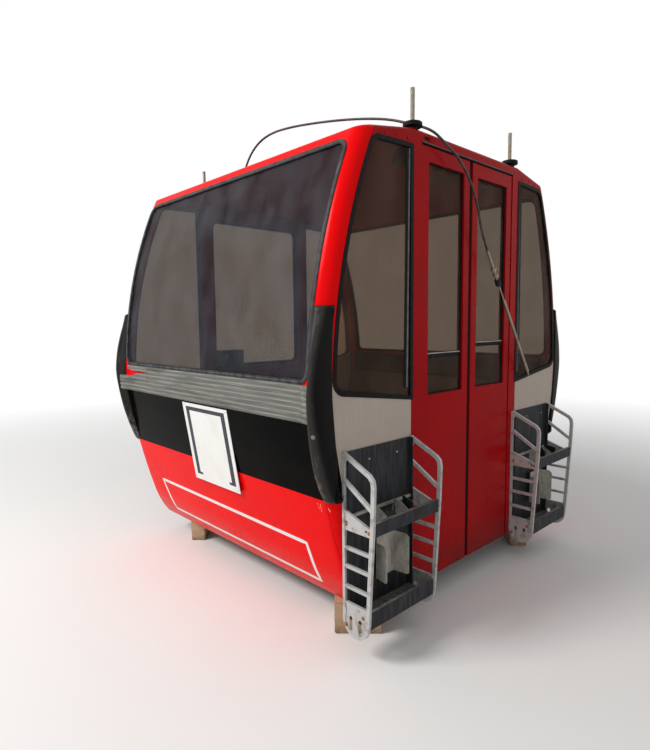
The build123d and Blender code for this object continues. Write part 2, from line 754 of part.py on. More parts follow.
# Rails along the back plates
rail_z = 594
with BuildPart() as rack_back_rails:
    for x0, x1 in plate_spans:
        with BuildSketch(Plane.YZ.offset(x0 + plate_t)):
            with Locations((door_y - plate_t - 5, rail_z)):
                Rectangle(10, 12)
        extrude(amount=x1 - x0 - 2 * plate_t)
rack_back_rails.part.label = "rack_back_rails"
export_step(rack_back_rails.part, "parts/rack_back_rails.step")

# Ski dividers: sheets folded to a channel, drawn from above as x from their start and depth
divider_t = 3
divider_low = 286
divider_top = 469
left_wing_top = 445
divider_points = [(0, 97), (12, 28), (128, 28), (140, 105)]
divider_starts = [-775, 642]
with BuildPart() as rack_dividers:
    for start_x in divider_starts:
        with BuildSketch(Plane.XY.offset(divider_low)):
            with BuildLine():
                Polyline(*[(start_x + px, door_y - depth) for px, depth in divider_points])
            trace(line_width=divider_t)
        extrude(amount=divider_top - divider_low)
        with BuildSketch(Plane.XY.offset(left_wing_top)):
            with Locations((start_x, door_y - 68)):
                Rectangle(26, 72)
        extrude(amount=100, mode=Mode.SUBTRACT)
    wing_ends = [e for e in rack_dividers.edges() if e.length < 2 * divider_t and e.center().Y < door_y - 80]
    chamfer([e for e in wing_ends if e.center().Z > left_wing_top - 1], 15)
    chamfer([e for e in wing_ends if e.center().Z < divider_low + 1], 7)
rack_dividers.part.label = "rack_dividers"
export_step(rack_dividers.part, "parts/rack_dividers.step")

# Upper tray: light triangular cheeks and dark slanting sheets between them
cheek_points = [(24, 546), (24, 608), (54, 608), (112, 572), (112, 546)]
cheek_t = 3
with BuildPart() as rack_cheeks:
    for start_x in divider_starts:
        for shift in (0, 140):
            with BuildSketch(Plane.YZ.offset(start_x + shift)):
                with BuildLine():
                    Polyline(*[(door_y - depth, z) for depth, z in cheek_points], close=True)
                make_face()
            extrude(amount=cheek_t)
rack_cheeks.part.label = "rack_cheeks"
export_step(rack_cheeks.part, "parts/rack_cheeks.step")

fin_runs = [((10, 118), (132, 30)), ((150, 118), (190, 30))]
with BuildPart() as rack_fins:
    for start_x in divider_starts:
        for near, far in fin_runs:
            with BuildSketch(Plane.XY.offset(546)):
                with BuildLine():
                    Line((start_x + near[0], door_y - near[1]), (start_x + far[0], door_y - far[1]))
                trace(line_width=4)
            extrude(amount=70)
rack_fins.part.label = "rack_fins"
export_step(rack_fins.part, "parts/rack_fins.step")

# Roof studs on their rubber mounts: a short neck under a round disc with a soft upper edge
neck_r = 25
disc_r = 44
disc_low = 2262
stud_spots = [(side * stud_x, y_mid + wall * stud_y) for side in ends for wall in ends]
with BuildPart() as stud_mounts:
    for spot_x, spot_y in stud_spots:
        with BuildSketch(Plane.XY.offset(roof_z)):
            with Locations((spot_x, spot_y)):
                Circle(neck_r)
        extrude(amount=disc_low - roof_z)
        with BuildSketch(Plane.XY.offset(disc_low)):
            with Locations((spot_x, spot_y)):
                Circle(disc_r)
        extrude(amount=disc_top - disc_low)
    disc_rims = [e for e in stud_mounts.edges() if e.center().Z > disc_top - 1]
    fillet(disc_rims, 6)
stud_mounts.part.label = "stud_mounts"
export_step(stud_mounts.part, "parts/stud_mounts.step")

with BuildPart() as hanger_studs:
    for spot_x, spot_y in stud_spots:
        with BuildSketch(Plane.XY.offset(disc_top)):
            with Locations((spot_x, spot_y)):
                Circle(stud_r)
        extrude(amount=stud_top - disc_top)
hanger_studs.part.label = "hanger_studs"
export_step(hanger_studs.part, "parts/hanger_studs.step")

# Timber blocks: centre x, centre y from the middle, width, length; all turned by 45 degrees
block_table = [
    ("front_left", -708, -788, 216, 216),
    ("back_left", -680, 656, 90, 210),
    ("front_right", 690, -836, 100, 200),
    ("back_right", 680, 680, 100, 200),
]
with BuildPart() as timber_blocks:
    for name, block_x, block_y, width, length in block_table:
        with BuildSketch(Plane.XY):
            with Locations(Location((block_x, y_mid + block_y, 0), (0, 0, 45))):
                Rectangle(length, width)
        extrude(amount=floor_low)
timber_blocks.part.label = "timber_blocks"
export_step(timber_blocks.part, "parts/timber_blocks.step")

# Door cable: route points from the roof gland to the ferrule, y measured from the middle of the body
cable_r = 6
cable_route = [
    (-505, 342, 2262),
    (-503, 325, 2370),
    (-492, 232, 2462),
    (-477, 99, 2492),
    (-458, -65, 2484),
    (-438, -232, 2462),
    (-419, -397, 2436),
    (-401, -556, 2404),
    (-384, -705, 2362),
    (-369, -830, 2308),
    (-345, -930, 2262),
    (-290, -962, 2206),
    (-185, -964, 2166),
    (-82, -966, 2075),
    (-8, -965, 1962),
    (37, -965, 1825),
    (90, -965, 1751),
]


def route_radii(points):
    """Bend radius at each inner point, from the shorter run and half the turn."""
    radii = []
    for before, here, after in zip(points, points[1:], points[2:]):
        one = Vector(*here) - Vector(*before)
        two = Vector(*after) - Vector(*here)
        half_turn = math.radians(one.get_angle(two)) / 2
        radii.append(0.45 * min(one.length, two.length) / math.tan(half_turn))
    return radii


route = [(px, y_mid + py, pz) for px, py, pz in cable_route]
radii = route_radii(route)
print("cable radii", [round(r) for r in radii])
with BuildPart() as door_cable:
    with BuildLine() as cable_line:
        FilletPolyline(*route, radius=radii)
    start_dir = Vector(*route[1]) - Vector(*route[0])
    with BuildSketch(Plane(origin=route[0], z_dir=start_dir)):
        Circle(cable_r)
    sweep()
door_cable.part.label = "door_cable"
export_step(door_cable.part, "parts/door_cable.step")
cable_length = sum(edge.length for edge in cable_line.edges())
print("cable length", round(cable_length), "volume ratio",
      round(door_cable.part.volume / (math.pi * cable_r ** 2 * cable_length), 4))

# Gland on the roof and the turned fittings at the free end of the cable
with BuildPart() as cable_gland:
    gland_axis = Vector(*route[1]) - Vector(*route[0])
    with BuildSketch(Plane(origin=route[0], z_dir=gland_axis)):
        Circle(14)
    extrude(amount=-40)
    add(body_solid.part, mode=Mode.SUBTRACT)
cable_gland.part.label = "cable_gland"
export_step(cable_gland.part, "parts/cable_gland.step")

fit_from = Vector(*route[-1])
tip_dir = (Vector(*route[-1]) - Vector(*route[-2])).normalized()


def turned(along, length, radius):
    """A round bar on the fitting axis, starting at a distance from the cable end."""
    place = Plane(origin=fit_from + tip_dir * along, z_dir=tip_dir)
    return Solid.make_cylinder(radius, length, place)


with BuildPart() as cable_ferrule:
    add(turned(0, 104, 7.5))
cable_ferrule.part.label = "cable_ferrule"
export_step(cable_ferrule.part, "parts/cable_ferrule.step")

with BuildPart() as cable_adjuster:
    with BuildSketch(Plane(origin=fit_from + tip_dir * 104, z_dir=tip_dir)):
        RegularPolygon(15, 6)
    extrude(amount=12)
    add(turned(116, 56, 8))
    with BuildSketch(Plane(origin=fit_from + tip_dir * 140, z_dir=tip_dir)):
        RegularPolygon(14, 6)
    extrude(amount=10)
cable_adjuster.part.label = "cable_adjuster"
export_step(cable_adjuster.part, "parts/cable_adjuster.step")

with BuildPart() as cable_boot:
    for ridge in range(4):
        add(turned(172 + ridge * 10, 6, 15))
        add(turned(178 + ridge * 10, 4, 11))
cable_boot.part.label = "cable_boot"
export_step(cable_boot.part, "parts/cable_boot.step")

with BuildPart() as cable_rod:
    add(turned(212, 90, 4))
    add(turned(302, 436, 8))
    add(turned(738, 66, 10))
    add(turned(804, 28, 5))
cable_rod.part.label = "cable_rod"
export_step(cable_rod.part, "parts/cable_rod.step")
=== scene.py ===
# %% [markdown]
# # A cable car cabin on four timber blocks
# This lesson dresses the solid model of a retired ropeway cabin: painted panels, smoked windows,
# weathered rubber, cast ski racks and a stiff control cable that hangs over the roof.
# The solid model already has every panel at its real place, so each cell here adds only a finish,
# or a small piece that sits on the panel which carries it.

# %% Load the fixed frame
import json
import math

import bmesh
import bpy
from mathutils import Matrix, Vector, noise
from mathutils.bvhtree import BVHTree


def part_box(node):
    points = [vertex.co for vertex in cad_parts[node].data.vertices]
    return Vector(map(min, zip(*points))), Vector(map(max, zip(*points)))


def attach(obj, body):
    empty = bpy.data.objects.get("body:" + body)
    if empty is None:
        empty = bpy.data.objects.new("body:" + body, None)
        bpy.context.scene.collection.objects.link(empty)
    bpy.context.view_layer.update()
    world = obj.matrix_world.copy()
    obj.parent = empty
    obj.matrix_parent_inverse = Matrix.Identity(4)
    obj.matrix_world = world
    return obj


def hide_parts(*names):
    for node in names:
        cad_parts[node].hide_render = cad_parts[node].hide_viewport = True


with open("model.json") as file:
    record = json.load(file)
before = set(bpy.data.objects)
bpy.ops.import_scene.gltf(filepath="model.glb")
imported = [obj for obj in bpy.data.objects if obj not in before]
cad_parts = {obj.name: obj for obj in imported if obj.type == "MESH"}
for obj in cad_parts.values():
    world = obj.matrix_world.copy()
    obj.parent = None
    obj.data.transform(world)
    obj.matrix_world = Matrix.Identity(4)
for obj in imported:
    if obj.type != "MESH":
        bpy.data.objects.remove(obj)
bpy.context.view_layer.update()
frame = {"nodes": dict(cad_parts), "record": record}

nodes = frame["nodes"]

# %% [markdown]
# ## Where things are
# The doors and the ski racks stick out on one side, so the middle of the cabin's body is a little
# off the frame's own middle. Places on the body are easier to read from the body's middle, and
# one function moves them into the frame.

# %% Body measures, in metres
BODY_Y = 0.08425
DOOR_WALL = BODY_Y - 0.925
BACK_WALL = BODY_Y + 0.925
SIDES = {"left": -1, "right": 1}
ENDS = (-1, 1)


def at(x_mm, y_mm, z_mm):
    """A point given in millimetres, with y from the body's middle."""
    return Vector((x_mm / 1000, y_mm / 1000 + BODY_Y, z_mm / 1000))


# %% [markdown]
# ## The camera
# The camera stands where the photographer stood: 1.4 m beyond the left end and 1.5 m out from the door
# side, 1.4 m above the ground, and it looks slightly down. Its place was solved from the cabin's straight
# edges. A wide lens so near the object gives the strong taper of the end wall.

# %% Camera
CAMERA_SPOT = (-2.457, -2.35875, 1.394)
YAW, PITCH, ROLL = (math.radians(angle) for angle in (46.77, -5.556, -0.646))
SENSOR_MM = 36
FOCAL_PX, PHOTO_HIGH_PX = 538.9, 750  # the solved focal length, in pixels of the photograph

ahead = Vector((math.cos(PITCH) * math.cos(YAW), math.cos(PITCH) * math.sin(YAW), math.sin(PITCH)))
level_right = Vector((math.sin(YAW), -math.cos(YAW), 0))
level_up = level_right.cross(ahead)
right = math.cos(ROLL) * level_right + math.sin(ROLL) * level_up
up = math.cos(ROLL) * level_up - math.sin(ROLL) * level_right
camera_data = bpy.data.cameras.new("viewpoint")
camera_data.sensor_fit = "VERTICAL"
camera_data.sensor_height = SENSOR_MM
camera_data.lens = FOCAL_PX / PHOTO_HIGH_PX * SENSOR_MM
camera = bpy.data.objects.new("viewpoint", camera_data)
camera.matrix_world = Matrix.Translation(CAMERA_SPOT) @ Matrix((right, up, -ahead)).transposed().to_4x4()
bpy.context.scene.collection.objects.link(camera)
bpy.context.scene.camera = camera
print("lens", round(camera_data.lens, 2), "mm")

# %% [markdown]
# ## Helpers for finishes
# Colours are written as the sRGB hex values that a picture editor shows, and turned to linear once.
# One small function adds any node with its settings and its links, and gives back one of its outputs.
# Every material begins with object coordinates, which are metres here, so a pattern's size can be given in
# real millimetres.
# The Mix node has several inputs with one name, so its sockets go by number: the mask, the colour where
# the mask is 0, the colour where it is 1, and the output for colours.

# %% Colour and node helpers
MASK, FIRST, SECOND, MIXED = 0, 6, 7, 2


def linear(hex_colour):
    """An sRGB hex colour as linear RGBA."""
    parts = [int(hex_colour[i:i + 2], 16) / 255 for i in (1, 3, 5)]
    return tuple(p / 12.92 if p <= 0.04045 else ((p + 0.055) / 1.055) ** 2.4 for p in parts) + (1.0,)


def put(tree, kind, links=None, out=0, **settings):
    """Adds one node; links gives each input a value, a colour or a socket. It returns one output."""
    node = tree.nodes.new("ShaderNode" + kind)
    for name, value in settings.items():
        setattr(node, name, value)
    for name, value in (links or {}).items():
        if isinstance(value, bpy.types.NodeSocket):
            tree.links.new(value, node.inputs[name])
        else:
            node.inputs[name].default_value = linear(value) if isinstance(value, str) else value
    return node.outputs[out] if node.outputs else node


# %% Beginning, pattern and end of a finish
def start_finish(name):
    """An empty material, its tree and the object coordinates."""
    material = bpy.data.materials.new(name)
    material.use_nodes = True
    material.node_tree.nodes.clear()
    return material, material.node_tree, put(material.node_tree, "TexCoord", out="Object")


def patches(tree, place, size_mm, low, high, stretch=(1, 1, 1), detail=4.0):
    """A mask from 0 to 1: soft patches of a real size, longer along an axis where stretch is above 1."""
    scale = [1000 / (size_mm * s) for s in stretch]
    spread = put(tree, "Mapping", {"Vector": place, "Scale": scale})
    cloud = put(tree, "TexNoise", {"Vector": spread, "Scale": 1.0, "Detail": detail})
    return put(tree, "MapRange", {"Value": cloud, "From Min": low, "From Max": high})


def close_finish(material, surface, relief, relief_mm):
    """Ends a material: the shader with its values and links, and a fine relief under it."""
    tree = material.node_tree
    surface["Normal"] = put(tree, "Bump", {"Height": relief, "Distance": relief_mm / 1000})
    put(tree, "OutputMaterial", {"Surface": put(tree, "BsdfPrincipled", surface)})
    print("finish", material.name, len(tree.nodes), "nodes")


# %% [markdown]
# ## The control cable
# A sheathed push-pull cable leaves a gland on the roof, arches over it and hangs down past the door.
# It is stiff, 12 mm thick and 2.14 m long, and the whole of it can be seen. A cable like this could be
# a mesh tube, but a NURBS spline keeps the bends smooth, because the points only pull at it.
# The order is set after the points are there, since before that it would fall back to straight runs.
# Its sheath is extruded polyamide: dark, slightly shiny, and dusty along its run.

# %% Cable sheath finish
sheath, tree, place = start_finish("extruded_polyamide_sheath")
dust = patches(tree, place, 30, 0.35, 0.75, stretch=(1, 3, 1))
colour = put(tree, "Mix", {MASK: dust, FIRST: "#2f2826", SECOND: "#574d47"}, MIXED, data_type="RGBA")
close_finish(sheath, {"Base Color": colour, "Roughness": 0.42, "Specular IOR Level": 0.3},
             patches(tree, place, 3, 0.3, 0.7), 0.15)

# %% Cable
CABLE_LENGTH, CABLE_D = 2.138, 0.012
CABLE_POINTS = [  # x, y, z in mm, with y from the body's middle
    (-505, 342, 2262), (-497, 310, 2356), (-484, 216, 2447), (-471, 92, 2480), (-454, -68, 2474),
    (-435, -233, 2455), (-417, -397, 2430), (-400, -556, 2399), (-384, -705, 2360),
    (-369, -830, 2308), (-345, -930, 2262), (-290, -962, 2206), (-185, -964, 2166),
    (-82, -966, 2075), (-8, -965, 1962), (37, -965, 1825), (90, -965, 1751)]
cable_curve = bpy.data.curves.new("control_cable", "CURVE")
cable_curve.dimensions = "3D"
cable_curve.bevel_depth = CABLE_D / 2
cable_curve.bevel_resolution = 4
spline = cable_curve.splines.new("NURBS")
spline.points.add(len(CABLE_POINTS) - 1)
for point, spot in zip(spline.points, CABLE_POINTS):
    point.co = (*at(*spot), 1)
spline.order_u = 3
spline.use_endpoint_u = True
spline.resolution_u = 8
cable_curve.materials.append(sheath)
cable = bpy.data.objects.new("control_cable", cable_curve)
bpy.context.scene.collection.objects.link(cable)
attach(cable, "root")
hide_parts("door_cable")
print("cable points", len(CABLE_POINTS))

# %% [markdown]
# ## Red coats
# The end panels are moulded in glass-fibre plastic with a red polyester gel coat. It is glossy and very
# smooth, so the eye sees clean colour, a soft highlight and, near the hem, a pale haze that is partly
# dried dust and partly a painted reflection of the ground. The door side is stoved enamel of a deeper red,
# partly its own tone and partly painted shade, and the roof is gel coat gone dull in the sun.
# A faint orange peel under the gloss keeps the highlight from looking like a mirror. Real orange peel has
# waves of some 3 mm, and here they are 9 mm, so that they show at this distance.

# %% Gel coat and enamel
HEM_FROM_Z, HEM_FULL_Z = 0.34, 0.15
SMEAR_ROUGHNESS = 0.14


def red_coat(name, base, faded, hem, gloss, shine):
    """Red paint with slow fading, its hem colour towards the bottom, and a faint orange peel."""
    material, tree, place = start_finish(name)
    fade = patches(tree, place, 420, 0.35, 0.7, detail=3)
    height = put(tree, "SeparateXYZ", {"Vector": place}, "Z")
    low = put(tree, "MapRange", {"Value": height, "From Min": HEM_FROM_Z, "From Max": HEM_FULL_Z})
    spots = patches(tree, place, 60, 0.3, 0.62, stretch=(2, 2, 1))
    # Towards the hem the colour turns to the hem colour in patches: dust, and on the end walls partly a
    # painted reflection of the ground.
    dust = put(tree, "Math", {0: low, 1: spots}, operation="MULTIPLY")
    colour = put(tree, "Mix", {MASK: fade, FIRST: base, SECOND: faded}, MIXED, data_type="RGBA")
    colour = put(tree, "Mix", {MASK: dust, FIRST: colour, SECOND: hem}, MIXED, data_type="RGBA")
    smear = patches(tree, place, 150, 0.4, 0.75)
    rough = put(tree, "MapRange", {"Value": smear, "To Min": gloss, "To Max": gloss + SMEAR_ROUGHNESS})
    peel = patches(tree, place, 9, 0.2, 0.8, detail=1)
    close_finish(material, {"Base Color": colour, "Roughness": rough, "Specular IOR Level": shine},
                 peel, 0.008)
    return material


# The ends' pale hem colour is partly dust and partly a painted reflection of the ground.
end_red = red_coat("polyester_gel_coat_red", "#ee0508", "#e4090d", "#d0453e", 0.2, 0.05)
# The door side's deeper red is partly its own tone and partly painted shade, since that side lies in shade.
door_red_and_shade = red_coat("stoved_enamel_red_and_painted_shade_door_side", "#a9080d", "#9c0b11", "#74211f", 0.24, 0.05)
roof_red = red_coat("polyester_gel_coat_roof", "#c41a20", "#b2262b", "#7c3a38", 0.4, 0.12)

# %% [markdown]
# ## Gloss black panel
# The band under the bumper is the same kind of panel in black. Black shows what it reflects, so it gets
# less reflection than a new car would have: the coat is old, and fine dust dulls it.

# %% Gloss black
black_gloss, tree, place = start_finish("polyester_gel_coat_black")
film = patches(tree, place, 240, 0.42, 0.8, stretch=(1, 1, 0.5))
colour = put(tree, "Mix", {MASK: film, FIRST: "#020202", SECOND: "#0c0b09"}, MIXED, data_type="RGBA")
rough = put(tree, "MapRange", {"Value": film, "To Min": 0.1, "To Max": 0.24})
close_finish(black_gloss, {"Base Color": colour, "Roughness": rough, "Specular IOR Level": 0.025},
             patches(tree, place, 10, 0.2, 0.8, detail=1), 0.015)

# %% [markdown]
# ## Weathered bumper rubber
# The bumper is an extruded rubber profile with ribs along it. Sun and rubbing have turned it grey,
# in streaks that run along the band: noise stretched 45 times that way. The crests of its ribs, 23 mm
# apart, are painted light, partly as wear and partly as a painted highlight, and the valleys between them
# dark, partly as dirt and a darker skin and partly as painted shade. A cosine of the height finds the
# crests, so the colour follows the ribs without a picture of them.

# %% Bumper rubber
RIB_PITCH, FIRST_RIB_Z = 0.0228, 1.006
bumper, tree, place = start_finish("extruded_rubber_weathered")
streaks = patches(tree, place, 5, 0.25, 0.8, stretch=(1, 45, 1), detail=5)
grime = patches(tree, place, 70, 0.52, 0.72, stretch=(1, 5, 0.6))
height = put(tree, "SeparateXYZ", {"Vector": place}, "Z")
above = put(tree, "Math", {0: height, 1: FIRST_RIB_Z}, operation="SUBTRACT")
turn = put(tree, "Math", {0: above, 1: 2 * math.pi / RIB_PITCH}, operation="MULTIPLY")
crest = put(tree, "Math", {0: turn}, operation="COSINE")
on_crest = put(tree, "MapRange", {"Value": crest, "From Min": 0.6})
# Painted shade with dirt: the valleys between the ribs go darker.
valley_shade_and_dirt = put(tree, "MapRange", {"Value": crest, "From Min": -0.9, "From Max": 0.4, "To Min": 0.4,
                                   "To Max": 0.0})
streaky = put(tree, "MapRange", {"Value": streaks, "From Min": 0.2, "To Max": 0.8})
# Painted highlight with wear: the crests of the ribs go lighter, in streaks.
worn = put(tree, "Math", {0: on_crest, 1: streaky}, operation="MULTIPLY")
grey = put(tree, "Mix", {MASK: streaks, FIRST: "#5c5c58", SECOND: "#8f8f89"}, MIXED, data_type="RGBA")
grey = put(tree, "Mix", {MASK: grime, FIRST: grey, SECOND: "#50504c"}, MIXED, data_type="RGBA")
grey = put(tree, "Mix", {MASK: valley_shade_and_dirt, FIRST: grey, SECOND: "#333331"}, MIXED, data_type="RGBA")
grey = put(tree, "Mix", {MASK: worn, FIRST: grey, SECOND: "#a9a9a3"}, MIXED, data_type="RGBA")
close_finish(bumper, {"Base Color": grey, "Roughness": 0.72, "Specular IOR Level": 0.3}, streaks, 0.35)

# %% [markdown]
# ## Moulded fenders
# The corner fenders are moulded in black polyurethane with a satin skin, scuffed and faded grey towards
# the end of the cabin, where skis and hands touch them. Their cheeks face the shaded door side and are
# painted nearly black, as painted shade.
# How far a point lies from the body's middle tells the cheek from the ridge and from the rubbed inner
# wall, so that distance drives the masks.

# %% Fender plastic
CHEEK_SHADE_FROM, CHEEK_SHADE_FULL = 0.913, 0.925
RUBBED_FROM, RUBBED_FULL = 0.905, 0.872
LOW_FROM_Z, LOW_FULL_Z = 0.86, 0.70
fender_black, tree, place = start_finish("moulded_polyurethane_black")
scuff = patches(tree, place, 26, 0.56, 0.78, stretch=(1, 1, 3))
from_middle = put(tree, "Math", {0: put(tree, "SeparateXYZ", {"Vector": place}, "Y"), 1: BODY_Y},
                  operation="SUBTRACT")
from_middle = put(tree, "Math", {0: from_middle}, operation="ABSOLUTE")
height = put(tree, "SeparateXYZ", {"Vector": place}, "Z")
# Painted shade: the cheeks, which face the shaded door side, go nearly black.
cheek = put(tree, "MapRange", {"Value": from_middle, "From Min": CHEEK_SHADE_FROM, "From Max": CHEEK_SHADE_FULL})
inner = put(tree, "MapRange", {"Value": from_middle, "From Min": RUBBED_FROM, "From Max": RUBBED_FULL})
lower = put(tree, "MapRange", {"Value": height, "From Min": LOW_FROM_Z, "From Max": LOW_FULL_Z})
rubbed = put(tree, "Math", {0: inner, 1: lower}, operation="MULTIPLY")
rubbed = put(tree, "Math", {0: rubbed, 1: patches(tree, place, 14, 0.4, 0.6, stretch=(1, 1, 2))},
             operation="MULTIPLY")
tone = put(tree, "Mix", {MASK: scuff, FIRST: "#2f2d2b", SECOND: "#504d4a"}, MIXED, data_type="RGBA")
tone = put(tree, "Mix", {MASK: cheek, FIRST: tone, SECOND: "#0a090a"}, MIXED, data_type="RGBA")
tone = put(tree, "Mix", {MASK: rubbed, FIRST: tone, SECOND: "#7d7b76"}, MIXED, data_type="RGBA")
rough = put(tree, "MapRange", {"Value": scuff, "To Min": 0.34, "To Max": 0.5})
close_finish(fender_black, {"Base Color": tone, "Roughness": rough, "Specular IOR Level": 0.12},
             patches(tree, place, 1.6, 0.3, 0.7, detail=2), 0.04)

# %% [markdown]
# ## Seals, strips and plugs
# The window seals are EPDM rubber, extruded, and dusted grey by years outside. The long seals of the end
# windows have weathered most. The filler strip in their groove, the plugs and the dull strips beside the
# side windows look alike but for their tone, so one function makes them all.

# %% Rubber and dull strips
def rubber(name, dark, dusty, amount):
    """A matt skin with dust settled in soft patches."""
    material, tree, place = start_finish(name)
    dust = patches(tree, place, 35, 0.75 - amount, 1.05 - amount)
    tone = put(tree, "Mix", {MASK: dust, FIRST: dark, SECOND: dusty}, MIXED, data_type="RGBA")
    close_finish(material, {"Base Color": tone, "Roughness": 0.62, "Specular IOR Level": 0.14},
                 patches(tree, place, 2, 0.3, 0.7), 0.08)
    return material


plug_grey = rubber("plug_plastic_grey", "#6f7071", "#858586", 0.4)
strip_grey = rubber("anodised_strip_dull", "#5d6061", "#7c7f80", 0.4)
window_rubber = rubber("epdm_rubber_weathered", "#27282b", "#444545", 0.4)
black_rubber = rubber("epdm_rubber_black", "#08090b", "#151618", 0.25)
key_rubber = rubber("filler_strip_light", "#47484a", "#6a6b6d", 0.4)

# %% [markdown]
# ## Windows
# The end windows are smoked acrylic, the others tinted glass. A pane could be a refracting solid, but a
# thin flat pane bends nothing that the eye can see, and refraction would keep the lamps out of the cabin.
# So each pane mixes a clear, tinted see-through part with a glossy part, whose share grows with the fifth
# power of the slant: it lets light in, shows the cabin behind it and mirrors more at a slant. The Fresnel
# node isn't used, since at a pane's inner face it would act as if the light couldn't get out.
# A film adds a little colour, blue-grey on the acrylic and brown-grey on the glass: partly dust and partly
# painted reflection. Light crosses two faces of a pane, so each face carries only the square root of the
# tint.

# %% Panes
FRONT_MIRROR = 0.035
ACRYLIC_IOR = 1.49


def pane(name, tint, film_and_reflection_colour, film_low, film_high, shine):
    """A see-through pane with a tint, a film of dust and painted reflection, and a reflection that grows at
    a slant.
    """
    material, tree, place = start_finish(name)
    clear = put(tree, "BsdfTransparent", {"Color": tint})
    # The film's colour is partly dust and partly painted reflection.
    dusty = put(tree, "BsdfPrincipled", {"Base Color": film_and_reflection_colour, "Roughness": 0.5})
    cloud = patches(tree, place, 130, 0.3, 0.75, stretch=(1, 1, 1.6))
    film = put(tree, "MapRange", {"Value": cloud, "To Min": film_low, "To Max": film_high})
    body = put(tree, "MixShader", {0: film, 1: clear, 2: dusty})
    mirror = put(tree, "BsdfPrincipled", {"Base Color": "#101214", "Roughness": 0.04, "IOR": ACRYLIC_IOR,
                                          "Specular IOR Level": 0.5})
    facing = put(tree, "LayerWeight", {"Blend": 0.5}, "Facing")
    slant = put(tree, "Math", {0: facing, 1: 5.0}, operation="POWER")
    share = put(tree, "MapRange", {"Value": slant, "To Min": FRONT_MIRROR, "To Max": shine})
    put(tree, "OutputMaterial", {"Surface": put(tree, "MixShader", {0: share, 1: body, 2: mirror})})
    print("pane", name, len(tree.nodes), "nodes")
    return material


smoked = pane("smoked_acrylic", "#d1d0d0", "#868d9b", 0.03, 0.12, 0.9)
tinted = pane("tinted_float_glass", "#ccc1b5", "#93796a", 0.05, 0.16, 0.85)

# %% [markdown]
# ## Taupe side panels
# Under the side windows are grey-brown laminate sheets, with a fine upright grain and a few rubbed
# spots near the racks. High-pressure laminate has a satin skin, so its highlight is wide and soft. Its
# printed grain is under 1 mm wide, and is drawn 3.5 mm wide to show at all.

# %% Laminate
taupe, tree, place = start_finish("high_pressure_laminate_taupe")
grain = patches(tree, place, 3.5, 0.2, 0.8, stretch=(1, 1, 30), detail=5)
rubbed = patches(tree, place, 160, 0.35, 0.7)
tone = put(tree, "Mix", {MASK: grain, FIRST: "#ab9d91", SECOND: "#c2b4a8"}, MIXED, data_type="RGBA")
tone = put(tree, "Mix", {MASK: rubbed, FIRST: tone, SECOND: "#b2a498"}, MIXED, data_type="RGBA")
close_finish(taupe, {"Base Color": tone, "Roughness": 0.46, "Specular IOR Level": 0.35}, grain, 0.08)

# %% [markdown]
# ## Castings, sheets and dark trays of the ski racks
# The side frames are sand-cast aluminium: matt, light grey, with a fine grain from the mould and patches
# of dirt. The sand's grain is about 0.5 mm, and is drawn 2.2 mm to show. The dividers are folded
# zinc-coated sheet with a faint spangle. Aluminium and zinc that have stood outside are dull with oxide,
# so only a third of their look is metallic.

# %% Cast aluminium
cast, tree, place = start_finish("sand_cast_aluminium")
mould = patches(tree, place, 2.2, 0.25, 0.75, detail=2)
dirt = patches(tree, place, 38, 0.52, 0.75)
tone = put(tree, "Mix", {MASK: mould, FIRST: "#b4b4b2", SECOND: "#c6c6c5"}, MIXED, data_type="RGBA")
tone = put(tree, "Mix", {MASK: dirt, FIRST: tone, SECOND: "#82807b"}, MIXED, data_type="RGBA")
close_finish(cast, {"Base Color": tone, "Metallic": 0.35, "Roughness": 0.55}, mould, 0.12)

# %% Zinc-coated sheet
zinc_sheet, tree, place = start_finish("folded_zinc_coated_sheet")
spangle = patches(tree, place, 12, 0.3, 0.7, detail=2)
dirt = patches(tree, place, 50, 0.5, 0.75, stretch=(1, 1, 2))
tone = put(tree, "Mix", {MASK: spangle, FIRST: "#a9a69c", SECOND: "#bbb8af"}, MIXED, data_type="RGBA")
tone = put(tree, "Mix", {MASK: dirt, FIRST: tone, SECOND: "#7b776d"}, MIXED, data_type="RGBA")
close_finish(zinc_sheet, {"Base Color": tone, "Metallic": 0.3, "Roughness": 0.5}, spangle, 0.05)

# %% [markdown]
# Trays and back plates are black moulded polypropylene under road dust. Rain has drawn the dust down the
# upright faces in streaks, and it lies thickest on the faces that look up, which the normal's height tells.

# %% Dusty black trays
tray_black, tree, place = start_finish("moulded_polypropylene_dusty")
run_off = patches(tree, place, 16, 0.42, 0.75, stretch=(1, 1, 9))
upward = put(tree, "SeparateXYZ", {"Vector": put(tree, "NewGeometry", out="Normal")}, "Z")
level = put(tree, "MapRange", {"Value": upward, "From Min": 0.6, "From Max": 0.95})
settled = put(tree, "Math", {0: level, 1: patches(tree, place, 22, 0.2, 0.7)}, operation="MULTIPLY")
tone = put(tree, "Mix", {MASK: run_off, FIRST: "#1d1e21", SECOND: "#3c3e44"}, MIXED, data_type="RGBA")
tone = put(tree, "Mix", {MASK: settled, FIRST: tone, SECOND: "#7a7770"}, MIXED, data_type="RGBA")
close_finish(tray_black, {"Base Color": tone, "Roughness": 0.6, "Specular IOR Level": 0.25},
             patches(tree, place, 2.5, 0.3, 0.7), 0.1)

# %% [markdown]
# ## Steel with zinc and rust
# The hanger studs and the cable's fittings are zinc-plated steel. Where the zinc has gone they are brown
# with rust, so one mask moves the colour, the metal and the roughness together.

